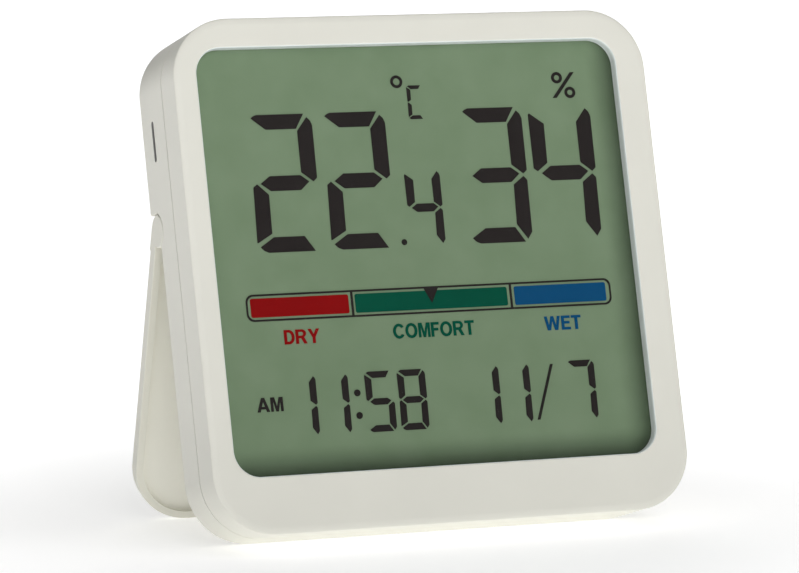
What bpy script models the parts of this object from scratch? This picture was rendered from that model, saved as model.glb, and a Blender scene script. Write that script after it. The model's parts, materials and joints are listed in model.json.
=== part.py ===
"""Home weather station: a desk thermometer, hygrometer and clock with a fold-out stand.

Every piece is drawn upright in the case's own axes, in metres: X to the right, Y from the
front face towards the back, Z up the face, with the origin at the middle of the front face.
An empty then leans the whole case back on its open stand.

Names ending in _Y, _X or _Z with two values are a piece's extent along that axis.
"""

import math

import bmesh
import bpy
from mathutils import Matrix, Vector

# ---------------------------------------------------------------- case
WIDTH = 0.0800
HEIGHT = 0.0802
DEPTH = 0.0168
CORNER = 0.0095
WALL = 0.0016
GAP = 0.0003                 # clearance between pieces that touch in the real object
HALF_W = WIDTH / 2
HALF_H = HEIGHT / 2

SEAM = 0.0070                # where the front and rear shells meet
FACE_BEVEL_WIDTH = 0.00115
FACE_BEVEL_DEPTH = 0.00035
REAR_EDGE = 0.0006
LOW_REAR = 0.0130            # rear face under the folded stand
STEP_Z = 0.01225             # underside of the thick upper part
FRONT_WALL_BACK = 0.00175
FRONT_CORNER_INNER = 0.0072  # leaves room for the square glass
LEAN = math.radians(15.37)

# ---------------------------------------------------------------- window and lens
WINDOW = (-0.0362, 0.0349, -0.0312, 0.03545)     # left, right, bottom, top
WINDOW_CORNER = 0.0042
WINDOW_ROUND = 0.0003
LENS_FRONT = 0.00065
LENS_BACK = 0.00165
LENS_BORDER = 0.0012         # the lens widens by this behind the window
LENS_STEP = 0.00140          # depth at which it widens
LENS_SLACK = 0.00012
POCKET_FRONT = 0.00130
POCKET_BORDER = 0.0015

# ---------------------------------------------------------------- display
POLARISER_Y = (0.00190, 0.00202)
FRONT_GLASS_Y = (0.00230, 0.00285)
REAR_GLASS_Y = (0.00315, 0.00370)
REFLECTOR_Y = (0.00400, 0.00412)
GLASS_X = (-0.0369, 0.0360)
GLASS_LOW = -0.0333
GLASS_HIGH = 0.03585
GLASS_NIP = 0.0025           # the glass's two upper corners are nipped off
LEDGE = -0.0312              # the front glass reaches below this, and carries the contacts
STRIP_HALF_X = 0.0310
STRIP_Z = (-0.0332, -0.0320)
STRIP_SLACK = 0.0004

FRAME_X = (-0.0380, 0.0371)
FRAME_Y = (0.0020, 0.0052)
FRAME_Z = (-0.0342, 0.0376)
FRAME_CORNER = 0.0066
FRAME_FLOOR = 0.00442        # the frame's pocket for the glass ends here
POST_RADIUS = 0.0021
POST_HOLE = 0.00115
POST_HOLE_FRONT = 0.0046

# ---------------------------------------------------------------- circuit board
BOARD_FRONT = 0.0062
BOARD_BACK = 0.0072
BOARD_HALF_X = 0.0368
BOARD_Z = (-0.0339, 0.0361)
BOARD_CORNER = 0.0060
BOARD_TOP = BOARD_BACK + GAP             # where the parts on the board's back begin
BOARD_SCREWS = ((-0.033, 0.030), (0.033, 0.030), (-0.033, -0.027), (0.033, -0.027))

CHIP_CENTRE = (0.012, 0.008)
CHIP_RADIUS = 0.0045
CHIP_HEIGHT = 0.0011
CHIP_DOME_ANGLES = (20, 40, 60, 78)
CRYSTAL_RADIUS = 0.0010
CRYSTAL_X = (-0.007, -0.001)
CRYSTAL_Z = 0.018
SENSOR_X = (-0.0349, -0.0319)
SENSOR_HALF_Z = 0.0015
SENSOR_HEIGHT = 0.0011
SENSOR_PIT_RIM = 0.0009
SENSOR_PIT_DEPTH = 0.0004
CAPACITOR_XS = (0.020, 0.026)
CAPACITOR_LENGTH = 0.0032
CAPACITOR_Z = (0.0160, 0.0176)
CAPACITOR_HEIGHT = 0.0012
SWITCH_HALF = 0.00225
SWITCH_BACK = 0.0090
PLUNGER_RADIUS = 0.0011
PLUNGER_BACK = 0.0094

# ---------------------------------------------------------------- power
CELL_X = -0.016
CELL_Z = -0.0175
CELL_RADIUS = 0.0100
CELL_PROFILE = (             # (radius, y) of the crimped can, from its back to its front
    (0.0, 0.0112), (0.0096, 0.0112), (CELL_RADIUS, 0.0108), (CELL_RADIUS, 0.0085),
    (0.0088, 0.0084), (0.0086, 0.0080), (0.0, 0.0080),
)
SHEET = 0.0002               # thickness of the contacts' strip
LEAF_HALF_X = 0.0045
LEAF_HALF_Z = 0.0030
LEAF_CORNER = 0.0010
CLIP_LENGTH = 0.0045
CLIP_HALF_Z = 0.0020
CLIP_BACK = 0.0089

# ---------------------------------------------------------------- battery cover and its bay
COVER_PROFILE = (            # (radius, y) of the cup with its rim, from the outside in
    (0.0, 0.0132), (0.0127, 0.0132), (0.0130, 0.0129), (0.0130, 0.0123), (0.0114, 0.0123),
    (0.0114, 0.0092), (0.0104, 0.0092), (0.0104, 0.0115), (0.0, 0.0115),
)
LUG_X = (0.0112, 0.0124)     # from the cover's centre
LUG_Y = (0.0094, 0.0104)
LUG_HALF_Z = 0.0020
COIN_SLOT_HALF = (0.0070, 0.0009)
COIN_SLOT_FLOOR = 0.0123
BAY_WALL = (0.0143, 0.0080, 0.0120)      # radius, then where it starts and ends along Y
BAY_POCKET = (0.0128, 0.0070, 0.0107)
BAY_MOUTH = (0.01175, 0.0100, 0.0125)
COVER_SEAT = (0.0133, 0.0120, 0.0140)
NOTCH_HALF = (0.0127, 0.0025)
NOTCH_Y = (0.0100, 0.0126)
NOTCH_TURN = math.radians(45)

# ---------------------------------------------------------------- rear shell and buttons
CAVITY_BACK = 0.0100
LOWER_CAVITY_BACK = 0.0115
BEAM_Z = (0.0035, 0.0145)    # the solid beam behind the hinge
BUTTON_XS = (0.010, 0.020, 0.030)
BUTTON_Z = -0.0175
BUTTON_HOLE = 0.0029
BUTTON_PROFILE = (           # (radius, y) of a button with its flange and stem, outside first
    (0.0, 0.0138), (0.0022, 0.0138), (0.0026, 0.0135), (0.0026, 0.0112), (0.0034, 0.0112),
    (0.0034, 0.0103), (0.0012, 0.0103), (0.0012, 0.0099), (0.0, 0.0099),
)
TONGUE_X = 0.018             # two hooks hold the front shell's top wall
TONGUE_HALF = 0.003
TONGUE_Y = (0.0056, 0.0080)
TONGUE_Z = (0.0366, 0.0381)
ROOT_Y = (0.0074, 0.0092)
ROOT_Z = (0.0366, 0.0392)
SLOT_Y = 0.01156             # the air slot in the left wall
SLOT_Z = 0.0232
SLOT_WIDTH = 0.00097
SLOT_LENGTH = 0.0064
SLOT_ROUNDNESS = 0.98

# ---------------------------------------------------------------- hinge and stand
HINGE_Y = 0.0141
HINGE_Z = 0.0095
PIN_RADIUS = 0.0008
PIN_HOLE = 0.0011
PIN_X = (0.0273, 0.0360)
NOSE_HOLE_START = 0.0270
EAR_HOLE_END = 0.0363
EAR_RADIUS = 0.00255
EAR_INNER_X = 0.0318
EAR_ARM_LOW = -0.0040
EAR_ARM_STEP = 0.0001
EAR_GROOVE = 0.0028
NOSE_RADIUS = 0.0027
NOSE_X = 0.0315
STAND_LENGTH = 0.0492
STAND_INNER_Y = 0.00025      # inner face of the stand, measured from its axis
STAND_TOP = -0.0029
STAND_EDGE = 0.0004
STAND_RIM = 0.0012
TRAY_DEPTH = 0.00105
TRAY_TOP = -0.0054

# ---------------------------------------------------------------- screws and their bosses
CASE_SCREW_X = 0.032
CASE_SCREW_Z = -0.0364
FRONT_BOSS = 0.0019
FRONT_BOSS_SINK = 0.0008
REAR_BOSS = 0.0027
REAR_BOSS_BACK = 0.0122
BOSS_GAP = 0.0006            # both bosses stop this far from the seam
PILOT = 0.0012
PILOT_FRONT = 0.0026
COUNTERBORE = 0.0023
COUNTERBORE_FLOOR = 0.0117
# head radius, back and front of the head, shank radius, tip
CASE_SCREW = (0.00195, 0.0129, 0.0120, 0.00090, 0.0030)
BOARD_SCREW = (0.00170, 0.0084, 0.0075, 0.00085, 0.0049)
SCREW_EDGE = 0.0004
TIP_SHARE = 0.5              # the flat tip, as a share of the shank
CROSS_SHARE = 0.6            # the driver cross, as a share of the head
CROSS_HALF = 0.0002
CROSS_DEPTH = 0.0004

# ---------------------------------------------------------------- how finely things are drawn
OVERRUN = 0.001              # how far a cutter runs past the surface that it opens
MERGE = 0.00001
CORNER_STEPS = 10
SOFT_STEPS = 4
LENS_STEPS = 6
WINDOW_STEPS = 8
LIP_STEPS = 3
NOSE_STEPS = 12
FINE_STEPS = 48
BAY_STEPS = 40
ROUND_STEPS = 32
SMALL_STEPS = 20
HOLE_STEPS = 16
SHARP_ANGLE = math.radians(35)

BOTTOM = (-1,)
TOP = (1,)
BOTH_ENDS = (-1, 1)
SIDES = (-1, 1)


# ---------------------------------------------------------------- scene and helpers
def clear_scene():
    for item in list(bpy.data.objects):
        bpy.data.objects.remove(item, do_unlink=True)


def new_collection(name):
    collection = bpy.data.collections.new(name)
    bpy.context.scene.collection.children.link(collection)
    return collection


clear_scene()
PARTS = new_collection("home_weather_station")
CUTTERS = new_collection("cutters")


def empty(name, parent=None, location=(0, 0, 0), turn=(0, 0, 0)):
    item = bpy.data.objects.new(name, None)
    PARTS.objects.link(item)
    item.parent = parent
    item.location = location
    item.rotation_euler = turn
    return item


def material(name, colour, roughness=0.5, metallic=0.0):
    made = bpy.data.materials.new(name)
    made.use_nodes = True
    shader = made.node_tree.nodes["Principled BSDF"]
    shader.inputs["Base Color"].default_value = (*colour, 1.0)
    shader.inputs["Roughness"].default_value = roughness
    shader.inputs["Metallic"].default_value = metallic
    return made


def to_object(name, bm, collection, parent):
    mesh = bpy.data.meshes.new(name)
    bm.to_mesh(mesh)
    bm.free()
    item = bpy.data.objects.new(name, mesh)
    collection.objects.link(item)
    item.parent = parent
    return item


def part(name, bm, look, parent):
    item = to_object(name, bm, PARTS, parent)
    item.data.materials.append(look)
    item.data.shade_smooth()
    item.data.set_sharp_from_angle(angle=SHARP_ANGLE)
    return item


def helper(name, bm, parent):
    item = to_object(name, bm, CUTTERS, parent)
    item.hide_render = True
    item.display_type = "WIRE"
    return item


def combine(target, operation, name, bm, parent):
    """Cut or join one helper solid with a part."""
    modifier = target.modifiers.new(name, "BOOLEAN")
    modifier.operation = operation
    modifier.solver = "EXACT"
    modifier.object = helper(name, bm, parent)


def cut(target, name, bm, parent):
    combine(target, "DIFFERENCE", name, bm, parent)


def join(target, name, bm, parent):
    combine(target, "UNION", name, bm, parent)


def about(middle, half):
    return (middle - half, middle + half)


def mirrored(side, span):
    """A span along X on the right (side 1) or mirrored to the left (side -1), in rising order."""
    return sorted((side * span[0], side * span[1]))


def box(x, y, z, corner=0.0, steps=SOFT_STEPS, rounded=BOTH_ENDS):
    """A box between the given pairs, with its edges along Y rounded at its bottom, top or both."""
    bm = bmesh.new()
    bmesh.ops.create_cube(bm, size=1.0)
    spans = (x, y, z)
    for vertex in bm.verts:
        vertex.co = Vector(span[0] if c < 0 else span[1] for c, span in zip(vertex.co, spans))
    if corner > 0:
        middle = (z[0] + z[1]) / 2
        edges = [
            e for e in bm.edges
            if abs(e.verts[0].co.y - e.verts[1].co.y) > MERGE
            and math.copysign(1, e.verts[0].co.z - middle) in rounded
        ]
        bmesh.ops.bevel(bm, geom=edges, offset=corner, segments=steps, profile=0.5, affect="EDGES")
    return bm


def end_face(bm, side):
    """The flat end of a box that looks along Y: side is -1 for the front, 1 for the back."""
    return max((f for f in bm.faces if f.normal.y * side > 0.9), key=lambda f: f.calc_area())


def inset_end(bm, side, steps):
    """Step an end face inwards and outwards: each step is (inset, rise)."""
    bm.normal_update()
    for inset, rise in steps:
        bmesh.ops.inset_region(
            bm, faces=[end_face(bm, side)], thickness=inset, depth=rise, use_even_offset=True
        )
        bm.normal_update()
    return bm


def quarter_round(radius, count):
    """Steps that turn the rim of an end face into a round edge."""
    angles = [math.pi / 2 * i / count for i in range(count + 1)]
    return [
        (radius * (math.cos(a) - math.cos(b)), radius * (math.sin(b) - math.sin(a)))
        for a, b in zip(angles, angles[1:])
    ]


def rod(axis, radius, start, end, centre, steps=ROUND_STEPS):
    """A cylinder along X or Y from start to end; centre gives its two other coordinates."""
    bm = bmesh.new()
    bmesh.ops.create_cone(
        bm, cap_ends=True, segments=steps, radius1=radius, radius2=radius, depth=end - start
    )
    middle = (start + end) / 2
    for vertex in bm.verts:
        first, second, along = vertex.co
        if axis == "X":
            vertex.co = Vector((along + middle, first + centre[0], second + centre[1]))
        else:
            vertex.co = Vector((second + centre[0], along + middle, first + centre[1]))
    return bm


def turned(name, profile, centre, look, parent, steps=ROUND_STEPS):
    """A solid of revolution about Y. The profile lists (radius, y) from the back to the front."""
    mesh = bpy.data.meshes.new(name)
    points = [(radius, 0.0, y) for radius, y in profile]
    edges = [(i, i + 1) for i in range(len(points) - 1)]
    mesh.from_pydata(points, edges, [])
    item = bpy.data.objects.new(name, mesh)
    PARTS.objects.link(item)
    item.parent = parent
    item.location = (centre[0], 0.0, centre[1])
    item.rotation_euler = (math.radians(-90), 0.0, 0.0)
    item.data.materials.append(look)
    screw_turn = item.modifiers.new("turn", "SCREW")
    screw_turn.axis = "Z"
    screw_turn.angle = math.tau
    screw_turn.steps = steps
    screw_turn.render_steps = steps
    screw_turn.use_merge_vertices = True
    screw_turn.merge_threshold = MERGE
    return item


# ---------------------------------------------------------------- materials
WHITE = material("white_plastic", (0.74, 0.73, 0.68), 0.45)
STAND_WHITE = material("stand_plastic", (0.72, 0.71, 0.65), 0.5)
KEY_WHITE = material("key_plastic", (0.70, 0.69, 0.64), 0.45)
CLEAR = material("clear_acrylic", (0.16, 0.25, 0.15), 0.1)
GLASS = material("display_glass", (0.19, 0.27, 0.16), 0.15)
FOIL = material("reflector_foil", (0.45, 0.50, 0.42), 0.3, 0.6)
INNER_WHITE = material("inner_plastic", (0.60, 0.60, 0.58), 0.6)
RUBBER = material("conductive_rubber", (0.05, 0.05, 0.05), 0.8)
BOARD = material("circuit_board", (0.02, 0.20, 0.08), 0.5)
BLACK_RESIN = material("black_resin", (0.02, 0.02, 0.02), 0.35)
CERAMIC = material("capacitor_ceramic", (0.45, 0.30, 0.18), 0.5)
STEEL = material("bright_steel", (0.62, 0.62, 0.60), 0.25, 1.0)
NICKEL = material("nickel_strip", (0.60, 0.57, 0.50), 0.3, 1.0)


# ---------------------------------------------------------------- where the case stands
def open_angle():
    """How far the stand opens for its tip and the case to meet one flat surface."""
    case_drop = LOW_REAR * math.sin(LEAN) + HALF_H * math.cos(LEAN)
    axis_drop = HINGE_Y * math.sin(LEAN) - HINGE_Z * math.cos(LEAN)
    reach = math.hypot(STAND_LENGTH, STAND_INNER_Y)
    tip = math.atan2(STAND_INNER_Y, STAND_LENGTH)
    return LEAN + math.acos((case_drop - axis_drop) / reach) - tip


STATION = empty("station")
CASE = empty("case_axes", STATION, turn=(-LEAN, 0, 0))
STAND_HINGE = empty("stand_hinge", CASE, (0, HINGE_Y, HINGE_Z), (open_angle(), 0, 0))


# ---------------------------------------------------------------- front shell and lens
def front_shell():
    outer = box(
        (-HALF_W, HALF_W), (FACE_BEVEL_DEPTH, SEAM - GAP / 2), (-HALF_H, HALF_H), CORNER, CORNER_STEPS
    )
    inset_end(outer, -1, [(FACE_BEVEL_WIDTH, FACE_BEVEL_DEPTH)])
    shell = part("front_shell", outer, WHITE, CASE)
    cavity = box(
        about(0, HALF_W - WALL), (FRONT_WALL_BACK, SEAM + OVERRUN), about(0, HALF_H - WALL),
        FRONT_CORNER_INNER, CORNER_STEPS,
    )
    cut(shell, "front_cavity", cavity, CASE)
    for side in SIDES:
        front_boss(shell, side)
    pocket = window_box(POCKET_BORDER, (POCKET_FRONT, FRONT_WALL_BACK + OVERRUN), LENS_STEPS)
    cut(shell, "lens_pocket", pocket, CASE)
    cut(shell, "window", window_cutter(), CASE)


def front_boss(shell, side):
    """A post on the front wall that one case screw bites into."""
    centre = (side * CASE_SCREW_X, CASE_SCREW_Z)
    start, end = FRONT_WALL_BACK - FRONT_BOSS_SINK, SEAM - BOSS_GAP
    join(shell, f"front_boss_{side}", rod("Y", FRONT_BOSS, start, end, centre, SMALL_STEPS), CASE)
    pilot = rod("Y", PILOT, PILOT_FRONT, SEAM + OVERRUN, centre, SMALL_STEPS)
    cut(shell, f"front_pilot_{side}", pilot, CASE)


def window_box(border, y, steps):
    """A box as large as the window and a border all round it."""
    left, right, low, high = WINDOW
    return box(
        (left - border, right + border), y, (low - border, high + border), WINDOW_CORNER + border, steps
    )


def window_cutter():
    """The window's plug, flared at the front so that it leaves a rounded lip."""
    plug = window_box(WINDOW_ROUND, (-OVERRUN, 0.0), WINDOW_STEPS)
    lip = quarter_round(WINDOW_ROUND, LIP_STEPS)
    inset_end(plug, 1, [(rise, inset) for inset, rise in reversed(lip)])
    reach = POCKET_FRONT - WINDOW_ROUND + GAP
    bmesh.ops.translate(plug, verts=list(end_face(plug, 1).verts), vec=(0, reach, 0))
    return plug


def display_lens():
    """The lens fills the window and has a thin border behind it, which holds it in its pocket."""
    plate = window_box(LENS_BORDER, (LENS_STEP, LENS_BACK), LENS_STEPS)
    lens = part("display_lens", plate, CLEAR, CASE)
    step = (LENS_STEP + LENS_BACK) / 2
    join(lens, "lens_face", window_box(-LENS_SLACK, (LENS_FRONT, step), LENS_STEPS), CASE)


# ---------------------------------------------------------------- display
def display_stack():
    layers = (
        ("front_polariser", POLARISER_Y, LEDGE, GLASS),
        ("lcd_front_glass", FRONT_GLASS_Y, GLASS_LOW, GLASS),
        ("lcd_rear_glass", REAR_GLASS_Y, LEDGE, GLASS),
        ("lcd_reflector", REFLECTOR_Y, LEDGE, FOIL),
    )
    for name, y, low, look in layers:
        part(name, box(GLASS_X, y, (low, GLASS_HIGH), GLASS_NIP, 1, TOP), look, CASE)
    strip = box(about(0, STRIP_HALF_X), (REAR_GLASS_Y[0], BOARD_FRONT - GAP), STRIP_Z)
    part("elastomer_strip", strip, RUBBER, CASE)


def lcd_frame():
    """The tray that carries the display, with a slot for the strip and four posts to the board."""
    frame = part("lcd_frame", box(FRAME_X, FRAME_Y, FRAME_Z, FRAME_CORNER), INNER_WHITE, CASE)
    pocket = box(
        (GLASS_X[0] - GAP, GLASS_X[1] + GAP), (FRAME_Y[0] - OVERRUN, FRAME_FLOOR),
        (GLASS_LOW - GAP, GLASS_HIGH + GAP), GLASS_NIP, 1, TOP,
    )
    cut(frame, "glass_pocket", pocket, CASE)
    slot = box(
        about(0, STRIP_HALF_X + STRIP_SLACK), (FRAME_FLOOR - GAP, FRAME_Y[1] + OVERRUN),
        (STRIP_Z[0] - STRIP_SLACK, STRIP_Z[1] + STRIP_SLACK),
    )
    cut(frame, "strip_slot", slot, CASE)
    for number, centre in enumerate(BOARD_SCREWS):
        post = rod("Y", POST_RADIUS, FRAME_Y[1] - BOSS_GAP, BOARD_FRONT - GAP, centre, HOLE_STEPS)
        join(frame, f"post_{number}", post, CASE)
        hole = rod("Y", POST_HOLE, POST_HOLE_FRONT, BOARD_FRONT + OVERRUN, centre, HOLE_STEPS)
        cut(frame, f"post_hole_{number}", hole, CASE)


# ---------------------------------------------------------------- circuit board
def main_board():
    plate = box(about(0, BOARD_HALF_X), (BOARD_FRONT, BOARD_BACK), BOARD_Z, BOARD_CORNER)
    board = part("main_board", plate, BOARD, CASE)
    for number, centre in enumerate(BOARD_SCREWS):
        hole = rod("Y", POST_HOLE, BOARD_FRONT - OVERRUN, BOARD_BACK + OVERRUN, centre, HOLE_STEPS)
        cut(board, f"board_hole_{number}", hole, CASE)


def board_parts():
    """The parts soldered to the back of the board."""
    chip = [(0.0, BOARD_TOP + CHIP_HEIGHT)]
    for angle in (math.radians(degrees) for degrees in CHIP_DOME_ANGLES):
        chip.append((CHIP_RADIUS * math.sin(angle), BOARD_TOP + CHIP_HEIGHT * math.cos(angle)))
    chip += [(CHIP_RADIUS, BOARD_TOP), (0.0, BOARD_TOP)]
    turned("controller_chip", chip, CHIP_CENTRE, BLACK_RESIN, CASE, SMALL_STEPS)
    crystal = rod("X", CRYSTAL_RADIUS, *CRYSTAL_X, (BOARD_TOP + CRYSTAL_RADIUS, CRYSTAL_Z), HOLE_STEPS)
    part("timing_crystal", crystal, STEEL, CASE)
    sensor = box(SENSOR_X, (BOARD_TOP, BOARD_TOP + SENSOR_HEIGHT), about(SLOT_Z, SENSOR_HALF_Z))
    inset_end(sensor, 1, [(SENSOR_PIT_RIM, 0.0), (SHEET, -SENSOR_PIT_DEPTH)])
    part("climate_sensor", sensor, BLACK_RESIN, CASE)
    for number, x in enumerate(CAPACITOR_XS, 1):
        span = (x, x + CAPACITOR_LENGTH)
        chip_box = box(span, (BOARD_TOP, BOARD_TOP + CAPACITOR_HEIGHT), CAPACITOR_Z)
        part(f"chip_capacitor_{number}", chip_box, CERAMIC, CASE)
    for number, x in enumerate(BUTTON_XS, 1):
        tact_switch(number, x)


def tact_switch(number, x):
    """The switch behind one button, its plunger towards the button."""
    can = box(about(x, SWITCH_HALF), (BOARD_TOP, SWITCH_BACK), about(BUTTON_Z, SWITCH_HALF), GAP)
    switch = part(f"tact_switch_{number}", can, STEEL, CASE)
    plunger = rod("Y", PLUNGER_RADIUS, SWITCH_BACK - SHEET, PLUNGER_BACK, (x, BUTTON_Z), HOLE_STEPS)
    join(switch, f"plunger_{number}", plunger, CASE)


# ---------------------------------------------------------------- power
def power_parts():
    turned("coin_cell", CELL_PROFILE, (CELL_X, CELL_Z), STEEL, CASE)
    sheet_y = (BOARD_TOP, BOARD_TOP + SHEET)
    leaf = box(about(CELL_X, LEAF_HALF_X), sheet_y, about(CELL_Z, LEAF_HALF_Z), LEAF_CORNER)
    part("negative_contact", leaf, NICKEL, CASE)
    edge = CELL_X + CELL_RADIUS + GAP
    foot = box((edge, edge + CLIP_LENGTH), sheet_y, about(CELL_Z, CLIP_HALF_Z))
    clip = part("positive_contact", foot, NICKEL, CASE)
    blade = box(
        (edge, edge + GAP), (BOARD_TOP + SHEET / 2, CLIP_BACK), about(CELL_Z, CLIP_HALF_Z)
    )
    join(clip, "contact_blade", blade, CASE)


def battery_cover():
    pivot = empty("cover_pivot", CASE, (CELL_X, 0, CELL_Z))
    cover = turned("battery_cover", COVER_PROFILE, (0, 0), KEY_WHITE, pivot, FINE_STEPS)
    for side in SIDES:
        lug = box(mirrored(side, LUG_X), LUG_Y, about(0, LUG_HALF_Z))
        join(cover, f"bayonet_lug_{side}", lug, pivot)
    half_x, half_z = COIN_SLOT_HALF
    slot = box(about(0, half_x), (COIN_SLOT_FLOOR, LOW_REAR + OVERRUN), about(0, half_z))
    cut(cover, "coin_slot", slot, pivot)


# ---------------------------------------------------------------- rear shell
def rear_shell():
    outer = box(
        (-HALF_W, HALF_W), (SEAM + GAP / 2, DEPTH - REAR_EDGE), (-HALF_H, HALF_H), CORNER, CORNER_STEPS
    )
    inset_end(outer, 1, quarter_round(REAR_EDGE, 2))
    shell = part("rear_shell", outer, WHITE, CASE)
    recess = box(
        about(0, HALF_W + OVERRUN), (LOW_REAR, DEPTH + OVERRUN), (-HALF_H - OVERRUN, STEP_Z)
    )
    cut(shell, "stand_recess", recess, CASE)
    join(shell, "hinge_nose", hinge_nose(), CASE)
    rear_cavity(shell)
    battery_bay(shell)
    for side in SIDES:
        hinge_side(shell, side)
        screw_side(shell, side)
        snap_side(shell, side)
    button_hole_y = (LOWER_CAVITY_BACK - OVERRUN, LOW_REAR + OVERRUN)
    for number, x in enumerate(BUTTON_XS, 1):
        hole = rod("Y", BUTTON_HOLE, *button_hole_y, (x, BUTTON_Z), SMALL_STEPS)
        cut(shell, f"button_hole_{number}", hole, CASE)
    cut(shell, "vent_slot", vent_slot(), CASE)


def hinge_side(shell, side):
    """The round groove that a stand's ear turns in, and the hole for its pin."""
    axis = (HINGE_Y, HINGE_Z)
    groove = rod("X", EAR_GROOVE, *mirrored(side, (NOSE_X, HALF_W + OVERRUN)), axis)
    cut(shell, f"ear_groove_{side}", groove, CASE)
    hole = rod("X", PIN_HOLE, *mirrored(side, (NOSE_HOLE_START, NOSE_X + GAP)), axis, HOLE_STEPS)
    cut(shell, f"pin_hole_{side}", hole, CASE)


def screw_side(shell, side):
    """The rear half of a screw boss, its hole and the seat for the head."""
    centre = (side * CASE_SCREW_X, CASE_SCREW_Z)
    boss = rod("Y", REAR_BOSS, SEAM + BOSS_GAP, REAR_BOSS_BACK, centre, SMALL_STEPS)
    join(shell, f"rear_boss_{side}", boss, CASE)
    hole = rod("Y", PILOT, SEAM - OVERRUN, REAR_BOSS_BACK, centre, HOLE_STEPS)
    cut(shell, f"screw_hole_{side}", hole, CASE)
    seat = rod("Y", COUNTERBORE, COUNTERBORE_FLOOR, LOW_REAR + OVERRUN, centre, SMALL_STEPS)
    cut(shell, f"counterbore_{side}", seat, CASE)


def snap_side(shell, side):
    """A tongue that hooks under the top wall of the front shell."""
    x = about(side * TONGUE_X, TONGUE_HALF)
    join(shell, f"tongue_{side}", box(x, TONGUE_Y, TONGUE_Z), CASE)
    join(shell, f"tongue_root_{side}", box(x, ROOT_Y, ROOT_Z), CASE)


def vent_slot():
    """The air slot through the left wall, with round ends."""
    half = SLOT_WIDTH / 2
    through = (-HALF_W - OVERRUN, -HALF_W + WALL + OVERRUN)
    slot = box(through, about(SLOT_Y, half), about(SLOT_Z, SLOT_LENGTH / 2))
    ends = [e for e in slot.edges if abs(e.verts[0].co.x - e.verts[1].co.x) > MERGE]
    bmesh.ops.bevel(
        slot, geom=ends, offset=half * SLOT_ROUNDNESS, segments=SOFT_STEPS, profile=0.5, affect="EDGES"
    )
    return slot


def hinge_nose():
    """The middle of the hinge: the thick part's lower edge, rounded about the stand's axis."""
    bm = bmesh.new()
    arc = [math.radians(-180 * i / NOSE_STEPS) for i in range(NOSE_STEPS + 1)]
    outline = [(HINGE_Y + NOSE_RADIUS * math.cos(a), HINGE_Z + NOSE_RADIUS * math.sin(a)) for a in arc]
    top = STEP_Z + OVERRUN
    outline += [(HINGE_Y - NOSE_RADIUS, top), (HINGE_Y + NOSE_RADIUS, top)]
    face = bm.faces.new([bm.verts.new((-NOSE_X, y, z)) for y, z in outline])
    pulled = bmesh.ops.extrude_face_region(bm, geom=[face])["geom"]
    ends = [v for v in pulled if isinstance(v, bmesh.types.BMVert)]
    bmesh.ops.translate(bm, verts=ends, vec=(2 * NOSE_X, 0, 0))
    bmesh.ops.recalc_face_normals(bm, faces=bm.faces)
    return bm


def rear_cavity(shell):
    """Hollow out the shell above and below the beam that carries the hinge."""
    inner_x = about(0, HALF_W - WALL)
    low, high = about(0, HALF_H - WALL)
    start = SEAM + OVERRUN
    spaces = (
        ("whole_cavity", (SEAM - OVERRUN, CAVITY_BACK), (low, high), BOTH_ENDS),
        ("upper_cavity", (start, DEPTH - WALL), (BEAM_Z[1], high), TOP),
        ("lower_cavity", (start, LOWER_CAVITY_BACK), (low, BEAM_Z[0]), BOTTOM),
    )
    for name, y, z, rounded in spaces:
        cut(shell, name, box(inner_x, y, z, CORNER - WALL, CORNER_STEPS, rounded), CASE)


def battery_bay(shell):
    """The round wall about the coin cell, and the seat and notches for its cover."""
    centre = (CELL_X, CELL_Z)
    join(shell, "bay_wall", rod("Y", *BAY_WALL, centre, BAY_STEPS), CASE)
    cut(shell, "bay_pocket", rod("Y", *BAY_POCKET, centre, BAY_STEPS), CASE)
    cut(shell, "bay_mouth", rod("Y", *BAY_MOUTH, centre, BAY_STEPS), CASE)
    cut(shell, "cover_seat", rod("Y", *COVER_SEAT, centre, FINE_STEPS), CASE)
    half_x, half_z = NOTCH_HALF
    notch = box(about(0, half_x), NOTCH_Y, about(0, half_z))
    notch.transform(Matrix.Translation((CELL_X, 0, CELL_Z)) @ Matrix.Rotation(NOTCH_TURN, 4, "Y"))
    cut(shell, "lug_notches", notch, CASE)


# ---------------------------------------------------------------- controls, stand, fasteners
def buttons():
    for number, x in enumerate(BUTTON_XS, 1):
        turned(f"button_{number}", BUTTON_PROFILE, (x, BUTTON_Z), KEY_WHITE, CASE)


def stand():
    """The folding stand, drawn closed: its own axes are at the hinge."""
    plate = box(
        (-HALF_W, HALF_W), (STAND_INNER_Y, EAR_RADIUS - STAND_EDGE), (-STAND_LENGTH, STAND_TOP),
        CORNER, CORNER_STEPS, BOTTOM,
    )
    inset_end(plate, 1, [(STAND_EDGE, STAND_EDGE)])
    flap = part("stand", plate, STAND_WHITE, STAND_HINGE)
    for side in SIDES:
        stand_ear(flap, side)
    half_rim = HALF_W - STAND_RIM
    tray = box(
        (-half_rim, half_rim), (STAND_INNER_Y - OVERRUN, STAND_INNER_Y + TRAY_DEPTH),
        (STAND_RIM - STAND_LENGTH, TRAY_TOP), CORNER - STAND_RIM, CORNER_STEPS, BOTTOM,
    )
    cut(flap, "stand_tray", tray, STAND_HINGE)


def stand_ear(flap, side):
    """The round ear that turns in the case's groove, its arm and the hole for its pin."""
    ends = mirrored(side, (EAR_INNER_X, HALF_W))
    arm = box(ends, (STAND_INNER_Y, EAR_RADIUS - EAR_ARM_STEP), (EAR_ARM_LOW, 0.0))
    join(flap, f"ear_arm_{side}", arm, STAND_HINGE)
    join(flap, f"ear_{side}", rod("X", EAR_RADIUS, *ends, (0, 0)), STAND_HINGE)
    hole_x = mirrored(side, (EAR_INNER_X - OVERRUN, EAR_HOLE_END))
    cut(flap, f"ear_hole_{side}", rod("X", PIN_HOLE, *hole_x, (0, 0), HOLE_STEPS), STAND_HINGE)


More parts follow.
